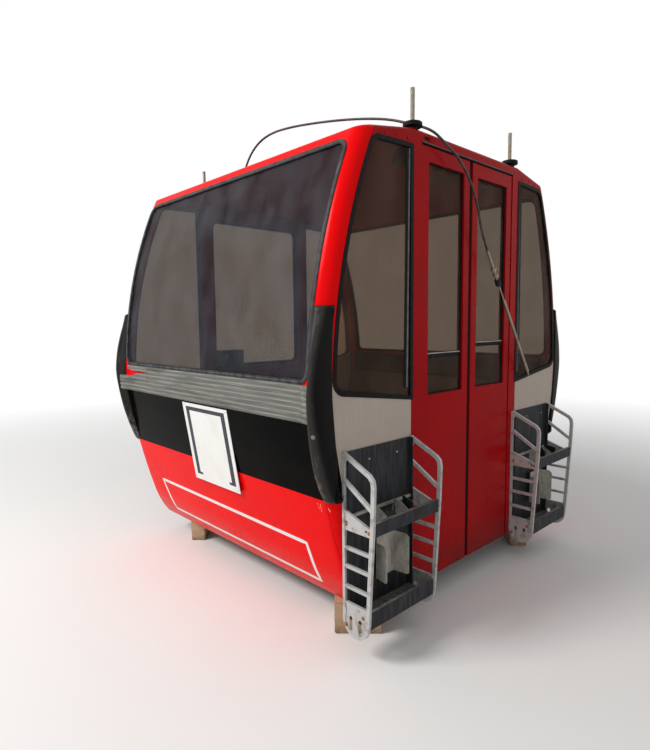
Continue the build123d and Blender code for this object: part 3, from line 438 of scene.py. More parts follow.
# %% Plated and rusty steel
def plated(name, rust_from, rust_to, rust_colour):
    """Zinc-plated steel; the two limits say how much of it has rusted."""
    material, tree, place = start_finish(name)
    rust = patches(tree, place, 18, rust_from, rust_to, detail=6)
    worn = patches(tree, place, 60, 0.4, 0.7)
    bright = put(tree, "Mix", {MASK: worn, FIRST: "#9a978d", SECOND: "#958869"}, MIXED, data_type="RGBA")
    colour = put(tree, "Mix", {MASK: rust, FIRST: bright, SECOND: rust_colour}, MIXED, data_type="RGBA")
    metal = put(tree, "MapRange", {"Value": rust, "To Min": 0.85, "To Max": 0.0})
    rough = put(tree, "MapRange", {"Value": rust, "To Min": 0.36, "To Max": 0.8})
    close_finish(material, {"Base Color": colour, "Metallic": metal, "Roughness": rough}, rust, 0.15)
    return material


plated_steel = plated("zinc_plated_steel", 0.58, 0.72, "#6a3a20")
rusty_steel = plated("rusted_bolt_steel", 0.18, 0.42, "#a5612f")

# %% [markdown]
# ## Seats and boards inside
# Through the windows the eye meets black vinyl benches and brown boards behind them. Calendered vinyl has
# a pressed leather grain, which is a Voronoi pattern with 4 mm cells, twice the real size so that it
# shows through the glass, and worn patches. The boards are faced plywood, whose grain runs along the bench.

# %% Vinyl and faced plywood
LEATHER_CELLS = 260.0  # cells to a metre
vinyl, tree, place = start_finish("calendered_vinyl_black")
cells = put(tree, "TexVoronoi", {"Vector": place, "Scale": LEATHER_CELLS}, feature="DISTANCE_TO_EDGE")
leathery = put(tree, "MapRange", {"Value": cells, "From Max": 0.25})
worn = patches(tree, place, 90, 0.45, 0.75)
tone = put(tree, "Mix", {MASK: worn, FIRST: "#1b1b1d", SECOND: "#2c2b2b"}, MIXED, data_type="RGBA")
close_finish(vinyl, {"Base Color": tone, "Roughness": 0.48, "Specular IOR Level": 0.4}, leathery, 0.25)

board, tree, place = start_finish("faced_plywood_brown")
grain = patches(tree, place, 5, 0.2, 0.8, stretch=(1, 26, 1), detail=5)
tone = put(tree, "Mix", {MASK: grain, FIRST: "#5b4a3d", SECOND: "#75604f"}, MIXED, data_type="RGBA")
close_finish(board, {"Base Color": tone, "Roughness": 0.5}, grain, 0.1)

# %% [markdown]
# ## Steel, enamel and sheet inside
# The door drive is powder-coated steel, with the fine texture of melted powder, and its levers are orange
# enamel, chipped darker in places. The floor is aluminium sheet with long scratches across the cabin.

# %% Powder coat, orange enamel and floor sheet
black_steel, tree, place = start_finish("powder_coated_steel_black")
worn = patches(tree, place, 40, 0.45, 0.75)
tone = put(tree, "Mix", {MASK: worn, FIRST: "#161617", SECOND: "#2a2a2b"}, MIXED, data_type="RGBA")
close_finish(black_steel, {"Base Color": tone, "Roughness": 0.5, "Specular IOR Level": 0.4},
             patches(tree, place, 1.5, 0.3, 0.7), 0.06)

orange, tree, place = start_finish("orange_enamel")
chips = patches(tree, place, 25, 0.5, 0.7)
tone = put(tree, "Mix", {MASK: chips, FIRST: "#f58a25", SECOND: "#b0611f"}, MIXED, data_type="RGBA")
close_finish(orange, {"Base Color": tone, "Roughness": 0.4}, patches(tree, place, 6, 0.3, 0.7), 0.04)

floor_metal, tree, place = start_finish("aluminium_floor_sheet")
scratches = patches(tree, place, 4, 0.3, 0.8, stretch=(14, 1, 1))
tone = put(tree, "Mix", {MASK: scratches, FIRST: "#6a6a68", SECOND: "#83827f"}, MIXED, data_type="RGBA")
close_finish(floor_metal, {"Base Color": tone, "Metallic": 0.6, "Roughness": 0.55}, scratches, 0.06)

# %% [markdown]
# ## Sign finishes
# The plate and the outline are white vinyl film, smooth with a faint unevenness from its glue, and the
# key line is dark blue-black ink, screen-printed in one flat coat.

# %% White film and ink
white_film, tree, place = start_finish("screen_printed_white_vinyl")
stain = patches(tree, place, 120, 0.45, 0.85)
tone = put(tree, "Mix", {MASK: stain, FIRST: "#e6e7e4", SECOND: "#d9d9d4"}, MIXED, data_type="RGBA")
close_finish(white_film, {"Base Color": tone, "Roughness": 0.38}, patches(tree, place, 20, 0.3, 0.7), 0.03)

ink, tree, place = start_finish("screen_printed_dark_ink")
thin = patches(tree, place, 30, 0.45, 0.8)
tone = put(tree, "Mix", {MASK: thin, FIRST: "#15172e", SECOND: "#24263c"}, MIXED, data_type="RGBA")
close_finish(ink, {"Base Color": tone, "Roughness": 0.4}, patches(tree, place, 20, 0.3, 0.7), 0.02)

# %% [markdown]
# ## Rough-sawn timber
# The blocks are pale softwood beams. Yearly rings are bands around the heart of the log, so one set of
# rings, bent by noise and turned with the beams, draws long grain on the sides and arcs on the sawn ends.
# The saw leaves fine ridges across, and the feet are grey with damp.

# %% Timber
BEAM_TURN = -math.pi / 4
HEART = (0, 0.31, 0.12)
DAMP_Z = 0.075
timber, tree, place = start_finish("rough_sawn_softwood")
turned = put(tree, "Mapping", {"Vector": place, "Rotation": (0, 0, BEAM_TURN)})
drawn = put(tree, "Mapping", {"Vector": turned, "Location": HEART, "Scale": (0.06, 1, 1)})
rings = put(tree, "TexWave", {"Vector": drawn, "Scale": 26.0, "Distortion": 2.5, "Detail": 3.0,
                              "Detail Scale": 1.2}, 1, wave_type="RINGS", rings_direction="X")
fibre = patches(tree, turned, 3, 0.25, 0.75, stretch=(20, 1, 1))
height = put(tree, "SeparateXYZ", {"Vector": place}, "Z")
low = put(tree, "MapRange", {"Value": height, "From Min": DAMP_Z, "From Max": 0.0})
damp = put(tree, "Math", {0: low, 1: patches(tree, place, 40, 0.3, 0.6)}, operation="MULTIPLY")
tone = put(tree, "Mix", {MASK: rings, FIRST: "#c8ad8e", SECOND: "#b39675"}, MIXED, data_type="RGBA")
tone = put(tree, "Mix", {MASK: fibre, FIRST: tone, SECOND: "#bda488"}, MIXED, data_type="RGBA")
tone = put(tree, "Mix", {MASK: damp, FIRST: tone, SECOND: "#7d6a55"}, MIXED, data_type="RGBA")
saw = put(tree, "TexWave", {"Vector": turned, "Scale": 60.0, "Distortion": 3.0}, 1, bands_direction="X")
relief = put(tree, "Math", {0: saw, 1: fibre}, operation="ADD")
close_finish(timber, {"Base Color": tone, "Roughness": 0.85, "Specular IOR Level": 0.2}, relief, 0.35)

# %% [markdown]
# ## Finishes on the solid pieces
# The record names a material slot for each solid piece. One table turns each slot into a finish, and
# a second, shorter one gives the pieces that differ from their slot.

# %% Hand out the finishes
finish_of_slot = {
    "red_paint": end_red, "gloss_black_paint": black_gloss, "bumper_rubber": bumper,
    "fender_plastic": fender_black, "taupe_laminate": taupe, "black_seal": black_rubber,
    "smoked_acrylic": smoked, "tinted_glass": tinted, "dark_red_paint": door_red_and_shade,
    "black_metal": black_steel, "cast_aluminium": cast, "grey_sheet": zinc_sheet,
    "black_tray_plastic": tray_black, "zinc_steel": plated_steel, "orange_paint": orange,
    "seat_vinyl": vinyl, "board_laminate": board, "roof_paint": roof_red, "floor_sheet": floor_metal,
    "timber": timber, "cable_sheath": sheath,
}
finish_of_node = {"end_window_seals": window_rubber, "cable_boot": window_rubber}
for part in frame["record"]["subparts"]:
    mesh = nodes[part["node"]].data
    mesh.materials.clear()
    mesh.materials.append(finish_of_node.get(part["node"], finish_of_slot[part["material_slot"]]))
print("finishes", len(bpy.data.materials))

# %% [markdown]
# ## One helper for small pieces
# A mesh piece is built from points and faces in the frame's own metres, so it needs no placing. Its faces
# are turned outwards at the end, because a sweep may have wound them the other way round. It rides on the
# cabin and carries the finish it is given.

# %% Mesh piece
def mesh_piece(name, points, faces, material, smooth=False):
    """A piece from points and faces that rides on the cabin."""
    mesh = bpy.data.meshes.new(name)
    mesh.from_pydata([tuple(p) for p in points], [], faces)
    outward = bmesh.new()
    outward.from_mesh(mesh)
    bmesh.ops.recalc_face_normals(outward, faces=list(outward.faces))
    outward.to_mesh(mesh)
    outward.free()
    mesh.materials.append(material)
    if smooth:
        mesh.shade_smooth()
    piece = bpy.data.objects.new(name, mesh)
    bpy.context.scene.collection.objects.link(piece)
    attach(piece, "root")
    print("piece", name, len(points), "points")
    return piece


# %% [markdown]
# ## The curve of the end wall
# The end wall is one bent sheet: an arc above the bumper, a short upright band behind it and a flatter
# arc that runs in towards the floor. Pieces that lie on the wall ask this function how far out it is.

# %% End wall curve
END_WIDEST_Z, END_WIDEST_X, END_TOP_Z, END_TOP_X = 1.050, 1.058, 2.187, 0.806
rise, lean = END_TOP_Z - END_WIDEST_Z, END_WIDEST_X - END_TOP_X
END_RADIUS = (rise * rise + lean * lean) / (2 * lean)
WAIST_Z, WAIST_SLOPE = 0.985, 0.08
FLANK_RADIUS, FLANK_Z, FLANK_X = 4.3113, 1.6444, -3.2076
CORNER_R, HALF_WIDE = 0.065, 0.925


def end_reach(z):
    """How far the end wall stands from the middle at a height."""
    if z >= END_WIDEST_Z:
        return END_WIDEST_X - END_RADIUS + math.sqrt(END_RADIUS ** 2 - (z - END_WIDEST_Z) ** 2)
    if z >= WAIST_Z:
        return END_WIDEST_X - (END_WIDEST_Z - z) * WAIST_SLOPE
    return FLANK_X + math.sqrt(FLANK_RADIUS ** 2 - (FLANK_Z - z) ** 2)


print("end wall", [(z, round(end_reach(z), 3)) for z in (0.6, 0.9, 1.05, 1.4, 2.1)])

# %% [markdown]
# ## Moulded corner fenders
# A fender is a horn-shaped moulding over each corner post. From the end it is a narrow ridge with a
# sloping inner wall; from the side it is a wide, flat cheek. Its section changes all the way down, so it
# is lofted: a short table gives the ridge, the cheek's edge and the reach at a dozen heights, a smooth
# curve runs through each column, and one section of arcs is drawn at every level.

# %% The table and its smooth columns
FENDER_ROWS = [  # height, reach from the middle, ridge and cheek edge, in mm
    (1462, 1040, 872, 983), (1406, 1052, 876, 984), (1330, 1073, 883, 990), (1250, 1090, 894, 994),
    (1156, 1103, 896, 995), (1095, 1106, 893, 995), (1020, 1099, 888, 989), (940, 1087, 883, 982),
    (863, 1071, 878, 974), (780, 1048, 873, 969), (715, 1024, 874, 969), (656, 1001, 880, 975)]
FENDER_TOP, FENDER_LOW = FENDER_ROWS[0][0] / 1000, FENDER_ROWS[-1][0] / 1000


def along_rows(z_mm, column):
    """One column of the table in metres, at any height in mm, on a smooth curve through its values."""
    rows = FENDER_ROWS
    k = next(i for i in range(len(rows) - 1) if rows[i + 1][0] <= z_mm)
    p = [rows[min(max(k + i, 0), len(rows) - 1)][column] for i in (-1, 0, 1, 2)]
    t = (rows[k][0] - z_mm) / (rows[k][0] - rows[k + 1][0])
    bend = 2 * p[1] + (p[2] - p[0]) * t + (2 * p[0] - 5 * p[1] + 4 * p[2] - p[3]) * t * t
    return (bend + (3 * p[1] - p[0] - 3 * p[2] + p[3]) * t ** 3) / 2000


print("fender's reach at the bumper", round(along_rows(1070, 1), 4), "m")

# %% [markdown]
# The section is a closed outline. Its foot is sunk in the wall; the inner wall climbs to the brow, a small
# arc; the nose is a long quarter of an ellipse that ends in the flat cheek, and the cheek's edge turns
# back to the wall. At both tips the section sinks into the wall along a quarter circle, which leaves the
# blunt, rounded ends that the real moulding has.

# %% One section
FOOT_Y, FENDER_FACE_Y = 0.861, 0.933
FOOT_SUNK, WALL_SUNK = 0.012, 0.004
INNER_BEND = 1.4
BROW_R, BROW_WIDE, BROW_IN = 0.012, 0.010, 0.003
NOSE_LONG, CHEEK_R, CHEEK_END_Y = 0.062, 0.005, 0.912
TIP_TOP, TIP_LOW = 0.014, 0.026


def wall_under(x, y, z):
    """The point of the cabin's rounded outline beside (x, y), a little inside it."""
    reach = end_reach(z)
    from_x, from_y = x - (reach - CORNER_R), y - (HALF_WIDE - CORNER_R)
    if from_y <= 0:
        return reach - WALL_SUNK, y
    if from_x <= 0:
        return x, HALF_WIDE - WALL_SUNK
    scale = (CORNER_R - WALL_SUNK) / math.hypot(from_x, from_y)
    return reach - CORNER_R + from_x * scale, HALF_WIDE - CORNER_R + from_y * scale


def fender_section(z):
    """The closed outline of a fender at a height: foot, inner wall, brow, nose and cheek."""
    out, ridge, cheek = (along_rows(z * 1000, column) for column in (1, 2, 3))
    reach = end_reach(z)
    brow_x, brow_y = out - BROW_R, ridge - BROW_IN
    ring = [(reach - FOOT_SUNK, FOOT_Y)]
    ring += [(reach + (brow_x - reach) * k / 3, FOOT_Y + (brow_y - FOOT_Y) * (k / 3) ** INNER_BEND)
             for k in range(1, 4)]
    for k in range(1, 5):
        a = math.pi / 2 * k / 4
        ring.append((brow_x + BROW_R * math.sin(a), brow_y + BROW_WIDE * (1 - math.cos(a))))
    half_y = FENDER_FACE_Y - ring[-1][1]
    for k in range(1, 15):
        a = math.pi / 2 * k / 14
        ring.append((out - NOSE_LONG * (1 - math.cos(a)), FENDER_FACE_Y - half_y * (1 - math.sin(a))))
    ring += [(cheek + 2 * CHEEK_R, FENDER_FACE_Y), (cheek + CHEEK_R, FENDER_FACE_Y - 0.08 * CHEEK_R),
             (cheek + 0.3 * CHEEK_R, FENDER_FACE_Y - 0.4 * CHEEK_R), (cheek, FENDER_FACE_Y - CHEEK_R),
             (cheek, CHEEK_END_Y)]
    near = min((FENDER_TOP - z) / TIP_TOP, (z - FENDER_LOW) / TIP_LOW, 1.0)
    full = math.sqrt(max(0.0, 1 - (1 - near) ** 2))
    shaped = []
    for x, y in ring:
        wall_x, wall_y = wall_under(x, y, z)
        shaped.append((wall_x + (x - wall_x) * full, wall_y + (y - wall_y) * full))
    return shaped


print("section points", len(fender_section(1.0)))

# %% [markdown]
# Many pieces are rings of points in a row: a section swept along a path, or an outline turned about an
# axis. One function gives the faces between the rings and, unless the row closes on itself, an end cap
# at each end.

# %% Faces between rings
def ring_faces(first, ring, rings, closed=False):
    """The faces of a row of rings: first is the number of its first point, ring the points in each."""
    faces = []
    for i in range(rings if closed else rings - 1):
        here, there = first + i * ring, first + (i + 1) % rings * ring
        for k in range(ring):
            m = (k + 1) % ring
            faces.append((here + k, here + m, there + m, there + k))
    if not closed:
        faces += [tuple(range(start, start + ring)) for start in (first, first + (rings - 1) * ring)]
    return faces


print("4 rings of 6 points,", len(ring_faces(0, 6, 4)), "faces with caps")

# %% Loft the four fenders
STRAIGHT = FENDER_TOP - TIP_TOP - FENDER_LOW - TIP_LOW
fender_heights = [FENDER_TOP - TIP_TOP * (1 - math.cos(math.pi / 2 * k / 6)) for k in range(6)]
fender_heights += [FENDER_TOP - TIP_TOP - STRAIGHT * k / 60 for k in range(60)]
fender_heights += [FENDER_LOW + TIP_LOW * (1 - math.sin(math.pi / 2 * k / 8)) for k in range(9)]
points, faces = [], []
for side in ENDS:
    for flank in ENDS:
        first = len(points)
        for z in fender_heights:
            ring = fender_section(z)
            points += [(side * x, BODY_Y + flank * y, z) for x, y in ring]
        faces += ring_faces(first, len(ring), len(fender_heights))
fender_piece = mesh_piece("moulded_corner_fenders", points, faces, fender_black,
                          smooth=True)
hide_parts("corner_fenders")
print("fenders", len(points), "points")

# %% [markdown]
# ## Bumper bands
# The bumper is one extruded rubber band with seven thin ribs. It thickens at both ends, where it meets
# the fenders. On the visible end a piece is torn out near the left fender, and red paint shows through.
# The band is swept along the wall from one outline; where it is torn, the outline is cut at a height that
# changes along the band, and a second, shorter sweep makes the lip that is left above the hole.

# %% Outline of the band
BAND_LOW, BAND_TOP = 0.990, 1.1465
RIB_HEIGHTS = [FIRST_RIB_Z + RIB_PITCH * k for k in range(7)]
BAND_T, RIB_T, RIB_HALF, EDGE_T, BAND_SUNK = 0.0125, 0.0032, 0.0021, 0.003, 0.003
LOW_EDGE_R, TOP_EDGE_R = 0.008, 0.006
BAND_END, FLARE_FROM, FLARE_T = 0.889, 0.800, 0.020
BAND_SAMPLES = 96


def band_out(y, z):
    """How far the band stands off the wall: a flat band with thin ribs and rounded edges."""
    flare = min(max((abs(y) - FLARE_FROM) / (BAND_END - FLARE_FROM), 0.0), 1.0)
    rounding = min((z - BAND_LOW) / LOW_EDGE_R, (BAND_TOP - z) / TOP_EDGE_R, 1.0)
    rib = sum(math.exp(-((z - height) / RIB_HALF) ** 2) for height in RIB_HEIGHTS)
    out = BAND_T + RIB_T * rib + FLARE_T * flare * flare * (3 - 2 * flare)
    return EDGE_T + (out - EDGE_T) * math.sqrt(max(0.0, 1 - (1 - rounding) ** 2))


def sweep_band(name, side, places, low_of, high_of):
    """A band along Y between two edges, each of which may change along it."""
    points = []
    for y in places:
        low, high = low_of(y), high_of(y)
        for k in range(BAND_SAMPLES + 1):
            z = low + (high - low) * k / BAND_SAMPLES
            points.append((side * (end_reach(z) + band_out(y, z)), BODY_Y + y, z))
        for z in (high, low):
            points.append((side * (end_reach(z) - BAND_SUNK), BODY_Y + y, z))
    return mesh_piece(name, points, ring_faces(0, BAND_SAMPLES + 3, len(places)), bumper)


print("band stands off", [round(band_out(y, 1.035) * 1000, 1) for y in (0, 0.85, 0.889)], "mm")

# %% The tear and the three sweeps
TEAR_TIP, LIP_END = 0.548, 0.812
TEAR_LOW = [  # distance from the middle and height of the hole's lower edge
    (0.548, 1.1165), (0.60, 1.109), (0.693, 1.102), (0.728, 1.091), (0.76, 1.086), (0.84, 1.083),
    (0.90, 1.087)]
TEAR_HIGH = [  # the same for its upper edge
    (0.548, 1.1168), (0.65, 1.120), (0.735, 1.1165), (0.806, 1.1255), (0.90, 1.126)]
RAGGED, RAGS_IN_METRE = 0.0012, 160


def edge_at(y, edge):
    """The height of a torn edge at a place along the band, with small tears in it."""
    for (y0, z0), (y1, z1) in zip(edge, edge[1:]):
        if y0 <= y <= y1:
            rag = RAGGED * noise.noise(Vector((y * RAGS_IN_METRE, z0 * 9, 0)))
            return z0 + (z1 - z0) * (y - y0) / (y1 - y0) + rag
    return edge[0][1]


flare_places = [FLARE_FROM + (BAND_END - FLARE_FROM) * k / 8 for k in range(9)]
whole_places = [-y for y in reversed(flare_places)] + [0.0] + flare_places
torn_places = [-y for y in reversed(flare_places)] + [0.0, 0.30, 0.50, TEAR_TIP - 0.001]
torn_places += [TEAR_TIP + (BAND_END - TEAR_TIP) * k / 44 for k in range(45)]
lip_places = [TEAR_TIP - 0.02] + [TEAR_TIP + (LIP_END - TEAR_TIP) * k / 32 for k in range(33)]
band_pieces = [
    sweep_band("bumper_band_right", 1, whole_places, lambda y: BAND_LOW, lambda y: BAND_TOP),
    sweep_band("bumper_band_left", -1, torn_places, lambda y: BAND_LOW,
               lambda y: BAND_TOP if y < TEAR_TIP else edge_at(y, TEAR_LOW)),
    sweep_band("bumper_lip_left", -1, lip_places, lambda y: edge_at(max(y, TEAR_TIP), TEAR_HIGH),
               lambda y: BAND_TOP)]
for piece in band_pieces:
    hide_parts("bumper_bands")
print("bands", [len(piece.data.vertices) for piece in band_pieces], "points each")

# %% [markdown]
# ## Key strips of the end window seals
# The rubber profile round each end window is locked by a thin filler strip, pressed into a groove. It is
# lighter than the rubber, and reads as a fine line all round the window. The strip follows the groove:
# a rounded frame in the window's plane, carried out to the curved seal. Such strips come back all over
# the cabin, so a ribbon is swept along any path, with a back that is a little rounded to catch the light.

# %% A ribbon along a path
def ribbon(name, path, across_mm, proud_mm, sunk_mm, material, closed=True):
    """A low strip with a rounded back that follows a path of (point, surface direction)."""
    points = []
    count = len(path)
    shape = [(-0.5, -sunk_mm), (-0.5, 0.55 * proud_mm), (-0.25, 0.95 * proud_mm), (0.25, 0.95 * proud_mm),
             (0.5, 0.55 * proud_mm), (0.5, -sunk_mm)]
    for i, (spot, normal) in enumerate(path):
        before = path[(i - 1) % count][0] if closed or i else spot
        after = path[(i + 1) % count][0] if closed or i < count - 1 else spot
        side = (after - before).cross(normal).normalized()
        for part_across, height in shape:
            points.append(spot + side * part_across * across_mm / 1000 + normal * height / 1000)
    return mesh_piece(name, points, ring_faces(0, len(shape), count, closed), material)


# %% A loop with rounded corners
def rounded_loop(corners, radius, step=0.03):
    """Points round a polygon with rounded corners, close enough to bend with the wall."""
    loop = []
    count = len(corners)
    for i, corner in enumerate(corners):
        before, after = corners[i - 1], corners[(i + 1) % count]
        to_before, to_after = (before - corner).normalized(), (after - corner).normalized()
        half = to_before.angle(to_after) / 2
        reach = radius / math.tan(half)
        centre = corner + (to_before + to_after).normalized() * radius / math.sin(half)
        start, end = corner + to_before * reach - centre, corner + to_after * reach - centre
        for k in range(9):
            mixed = start.lerp(end, k / 8)
            loop.append(centre + mixed.normalized() * radius)
        gap = (after - corner).length - 2 * reach
        pieces = max(2, int(gap / step))
        leave = corner + to_after * reach
        loop += [leave + to_after * gap * k / pieces for k in range(1, pieces)]
    return loop


# %% Key strips
WINDOW = [(-0.859, 1.146), (0.859, 1.146), (0.874, 2.146), (-0.874, 2.146)]  # y from the middle, and z
WINDOW_MIDDLE_Z, WINDOW_CORNER_R = 1.6, 0.062
SEAL_IN, SEAL_PROUD = 0.0115, 0.0035
window_corners = [Vector((BODY_Y + math.copysign(abs(y) - SEAL_IN, y),
                          z + math.copysign(SEAL_IN, WINDOW_MIDDLE_Z - z))) for y, z in WINDOW]
loop = rounded_loop(window_corners, WINDOW_CORNER_R - SEAL_IN)
for tag, side in SIDES.items():
    path = []
    for spot in loop:
        climb = spot.y - END_WIDEST_Z
        normal = Vector((side * math.sqrt(END_RADIUS ** 2 - climb ** 2), 0, climb)).normalized()
        path.append((Vector((side * end_reach(spot.y), spot.x, spot.y)) + normal * SEAL_PROUD, normal))
    ribbon("key_strip_" + tag, path, 3.6, 1.0, 3.0, key_rubber)
print("key strips", len(loop), "points round each window")

# %% [markdown]
# ## The sign plate
# On the visible end hangs a white plate with a dark key line, and it is blank. The plate is flat and the
# wall curves away under it, so it touches at the top and stands off at the bottom, on two short spacers.
# The line is a screen print, a fraction of a millimetre high. Plate and print are sheets whose corners are
# shares of the plate's width and height, so both keep its lean.
# What lies on the wall is found by a dropped point: a line from outside meets the shown surface of the
# solid pieces, and gives the place and the way the surface faces there.

# %% Dropped points
def surface_of(*names):
    """A search tree over the shown shape of some solid pieces."""
    points, faces = [], []
    for name in names:
        mesh = nodes[name].data
        first = len(points)
        points += [v.co.copy() for v in mesh.vertices]
        faces += [tuple(first + v for v in p.vertices) for p in mesh.polygons]
    return BVHTree.FromPolygons(points, faces)


END_OUT = 1.4  # where lines towards an end wall start, in metres from the middle


def drop(surface, spot, direction):
    """The point where a line from spot meets the surface, and the way the surface faces there."""
    hit, normal, _, _ = surface.ray_cast(Vector(spot), Vector(direction))
    return hit, -normal if normal.dot(Vector(direction)) > 0 else normal


# %% The plate's plane
end_surface = surface_of("end_lower_panels", "end_black_panels")
SIGN_TOP, SIGN_LOW = Vector((-1.0545, 0, 0.980)), Vector((-0.9845, 0, 0.551))
SIGN_LEFT_Y, SIGN_RIGHT_Y = BODY_Y + 0.1714, BODY_Y - 0.2563
SIGN_DOWN = (SIGN_LOW - SIGN_TOP).normalized()
SIGN_OUT = Vector((SIGN_DOWN.z, 0, -SIGN_DOWN.x))
SIGN_T = 0.003


def sign_point(across, down, proud=0.0):
    """A point on the plate's face, as shares of its width and height from its top left corner."""
    spot = SIGN_TOP.lerp(SIGN_LOW, down) + SIGN_OUT * proud
    spot.y = SIGN_LEFT_Y + (SIGN_RIGHT_Y - SIGN_LEFT_Y) * across
    return spot


print("sign", round((SIGN_LOW - SIGN_TOP).length, 3), "by", round(SIGN_LEFT_Y - SIGN_RIGHT_Y, 3), "m")

# %% Plate and key line
def sign_sheets(name, bars, back, front, soft, material):
    """Flat sheets on the plate, given as left, top, width and height shares, with softened edges."""
    build = bmesh.new()
    for left, top, wide, high in bars:
        ring = [(left, top), (left + wide, top), (left + wide, top + high), (left, top + high)]
        low_verts = [build.verts.new(sign_point(a, d, back)) for a, d in ring]
        high_verts = [build.verts.new(sign_point(a, d, front)) for a, d in ring]
        build.faces.new(low_verts)
        build.faces.new(reversed(high_verts))
        for k in range(4):
            m = (k + 1) % 4
            build.faces.new((low_verts[k], high_verts[k], high_verts[m], low_verts[m]))
    bmesh.ops.recalc_face_normals(build, faces=list(build.faces))
    bmesh.ops.bevel(build, geom=list(build.edges), offset=soft, segments=2, affect="EDGES")
    mesh = bpy.data.meshes.new(name)
    build.to_mesh(mesh)
    build.free()
    mesh.materials.append(material)
    piece = bpy.data.objects.new(name, mesh)
    bpy.context.scene.collection.objects.link(piece)
    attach(piece, "root")
    print(name, len(bars), "sheets")


KEY_LINE = [  # left, top, width and height, as shares of the plate
    (0.070, 0.042, 0.865, 0.048), (0.070, 0.090, 0.075, 0.835), (0.855, 0.090, 0.080, 0.835),
    (0.145, 0.893, 0.055, 0.032), (0.800, 0.893, 0.055, 0.032)]
sign_sheets("blank_sign", [(0, 0, 1, 1)], -SIGN_T, 0.0, 0.0008, white_film)
sign_sheets("sign_key_line", KEY_LINE, -0.0002, 0.0004, 0.00015, ink)

# %% [markdown]
# ## The outlined frame
# Below the plate a white line is stuck on the red panel as a plain, closed frame. The line is cut vinyl,
# so it follows the curve of the wall: its corners are dropped on the panel and the runs between them too.

# %% Outline
FRAME_CORNERS = [Vector(c) for c in  # y from the middle, and z
                 ((0.6869, 0.4211), (-0.6772, 0.4091), (-0.6940, 0.2136), (0.6558, 0.2221))]
FRAME_STEP = 0.03
frame_path = []
for i, corner in enumerate(FRAME_CORNERS):
    after = FRAME_CORNERS[(i + 1) % 4]
    steps = max(3, int((after - corner).length / FRAME_STEP))
    for k in range(steps):
        spot = corner.lerp(after, k / steps)
        frame_path.append(drop(end_surface, (-END_OUT, spot.x + BODY_Y, spot.y), (1, 0, 0)))
ribbon("blank_outline", frame_path, 20, 0.7, 0.5, white_film)
print("outline", len(frame_path), "points")

# %% [markdown]
# ## Rivets and joint lines of the door side
# Blind rivets run along the header and down both door pillars, and a narrow joint line parts the red end
# cap from the header. Each rivet head is turned from a short outline, so that it catches a highlight on its
# dome. A texture could fake the heads, but it would lie flat when the light comes along the wall.

# %% Turned heads
def turned_heads(name, spots, outline, sides, material, smooth=True):
    """One piece of many turned heads: outline is (radius, height) from the rim to the top."""
    points, faces = [], []
    for spot, normal in spots:
        normal = Vector(normal).normalized()
        across = normal.cross(Vector((0, 0, 1)) if abs(normal.z) < 0.9 else Vector((1, 0, 0))).normalized()
        along = normal.cross(across).normalized()
        first = len(points)
        for radius, height in outline:
            for k in range(sides):
                a = 2 * math.pi * k / sides
                outward = across * math.cos(a) + along * math.sin(a)
                points.append(Vector(spot) + normal * height + outward * radius)
        faces += ring_faces(first, sides, len(outline))
    return mesh_piece(name, points, faces, material, smooth)


# %% Header rivets and joint lines
DOME = [(1.0, 0.0), (0.97, 0.22), (0.8, 0.42), (0.45, 0.56), (0.12, 0.6)]  # radius and height shares
DOME_HIGH = 0.6


def domed(radius_mm, height_mm):
    """The outline of a domed head."""
    return [(r * radius_mm / 1000, h / DOME_HIGH * height_mm / 1000) for r, h in DOME]


HEADER_RIVETS = ((0.519, 2.190), (0.601, 2.1875), (0.669, 2.180))  # x and z, the same on both sides
JOINT_FROM, JOINT_TO = Vector((0.7245, 0, 2.1865)), Vector((0.7825, 0, 2.0940))
IN_FRONT = DOOR_WALL - 0.2
front = surface_of("door_wall", "end_frame_left", "end_frame_right")
header_rivets = [drop(front, (side * x, IN_FRONT, z), (0, 1, 0)) for side in ENDS for x, z in HEADER_RIVETS]
turned_heads("header_rivets", header_rivets, domed(6.5, 3.0), 16, door_red_and_shade)
for tag, side in SIDES.items():
    for face, wall, out_y in (("_front", DOOR_WALL, -1), ("_back", BACK_WALL, 1)):
        path = []
        for k in range(9):
            spot = JOINT_FROM.lerp(JOINT_TO, k / 8)
            path.append((Vector((side * spot.x, wall, spot.z)), Vector((0, out_y, 0))))
        ribbon("corner_joint_" + tag + face, path, 3.2, 1.3, 1.0, end_red, closed=False)
print("header rivets", len(header_rivets))

# %% Pillar rivets
PILLAR_X, PILLAR_TOP_Z, RIVET_STEP, RIVETS_IN_ROW = 0.446, 2.085, 0.087, 12
pillar_rivets = [drop(front, (side * PILLAR_X, IN_FRONT, PILLAR_TOP_Z - RIVET_STEP * k), (0, 1, 0))
                 for side in ENDS for k in range(RIVETS_IN_ROW)]
turned_heads("pillar_rivets", pillar_rivets, domed(2.6, 0.9), 10, door_red_and_shade)
print("pillar rivets", len(pillar_rivets))

# %% [markdown]
# ## Bolts and screws of the ski racks
# Rusty bolts with washers go through each casting, a zinc pin sits in its gusset, and small screws hold the
# back plates. The bolts are dropped sideways on the castings, so they lie on the faces that are seen.

# %% Rack fasteners
FRAME_FACES = ((-0.943, -1), (-0.477, 1), (0.452, -1), (0.905, 1))  # x of each casting's face, and its way
BOLT_PLACES = ((0.019, 0.576), (0.145, 0.569), (0.018, 0.146), (0.111, 0.206))  # distance off the wall, z
PIN_PLACE = (0.053, 0.566)
SCREW_PLACES = ((-0.780, 0.814), (-0.594, 0.813), (0.638, 0.818), (0.830, 0.816))  # x and z
PLATE_FACE_Y = DOOR_WALL - 0.004
WASHER = [  # radius and height of a washer with a bolt head on it
    (0.0085, 0.0), (0.0085, 0.0012), (0.0062, 0.0013), (0.0058, 0.0042), (0.0045, 0.0052)]
frame_surface = surface_of("rack_side_frames")


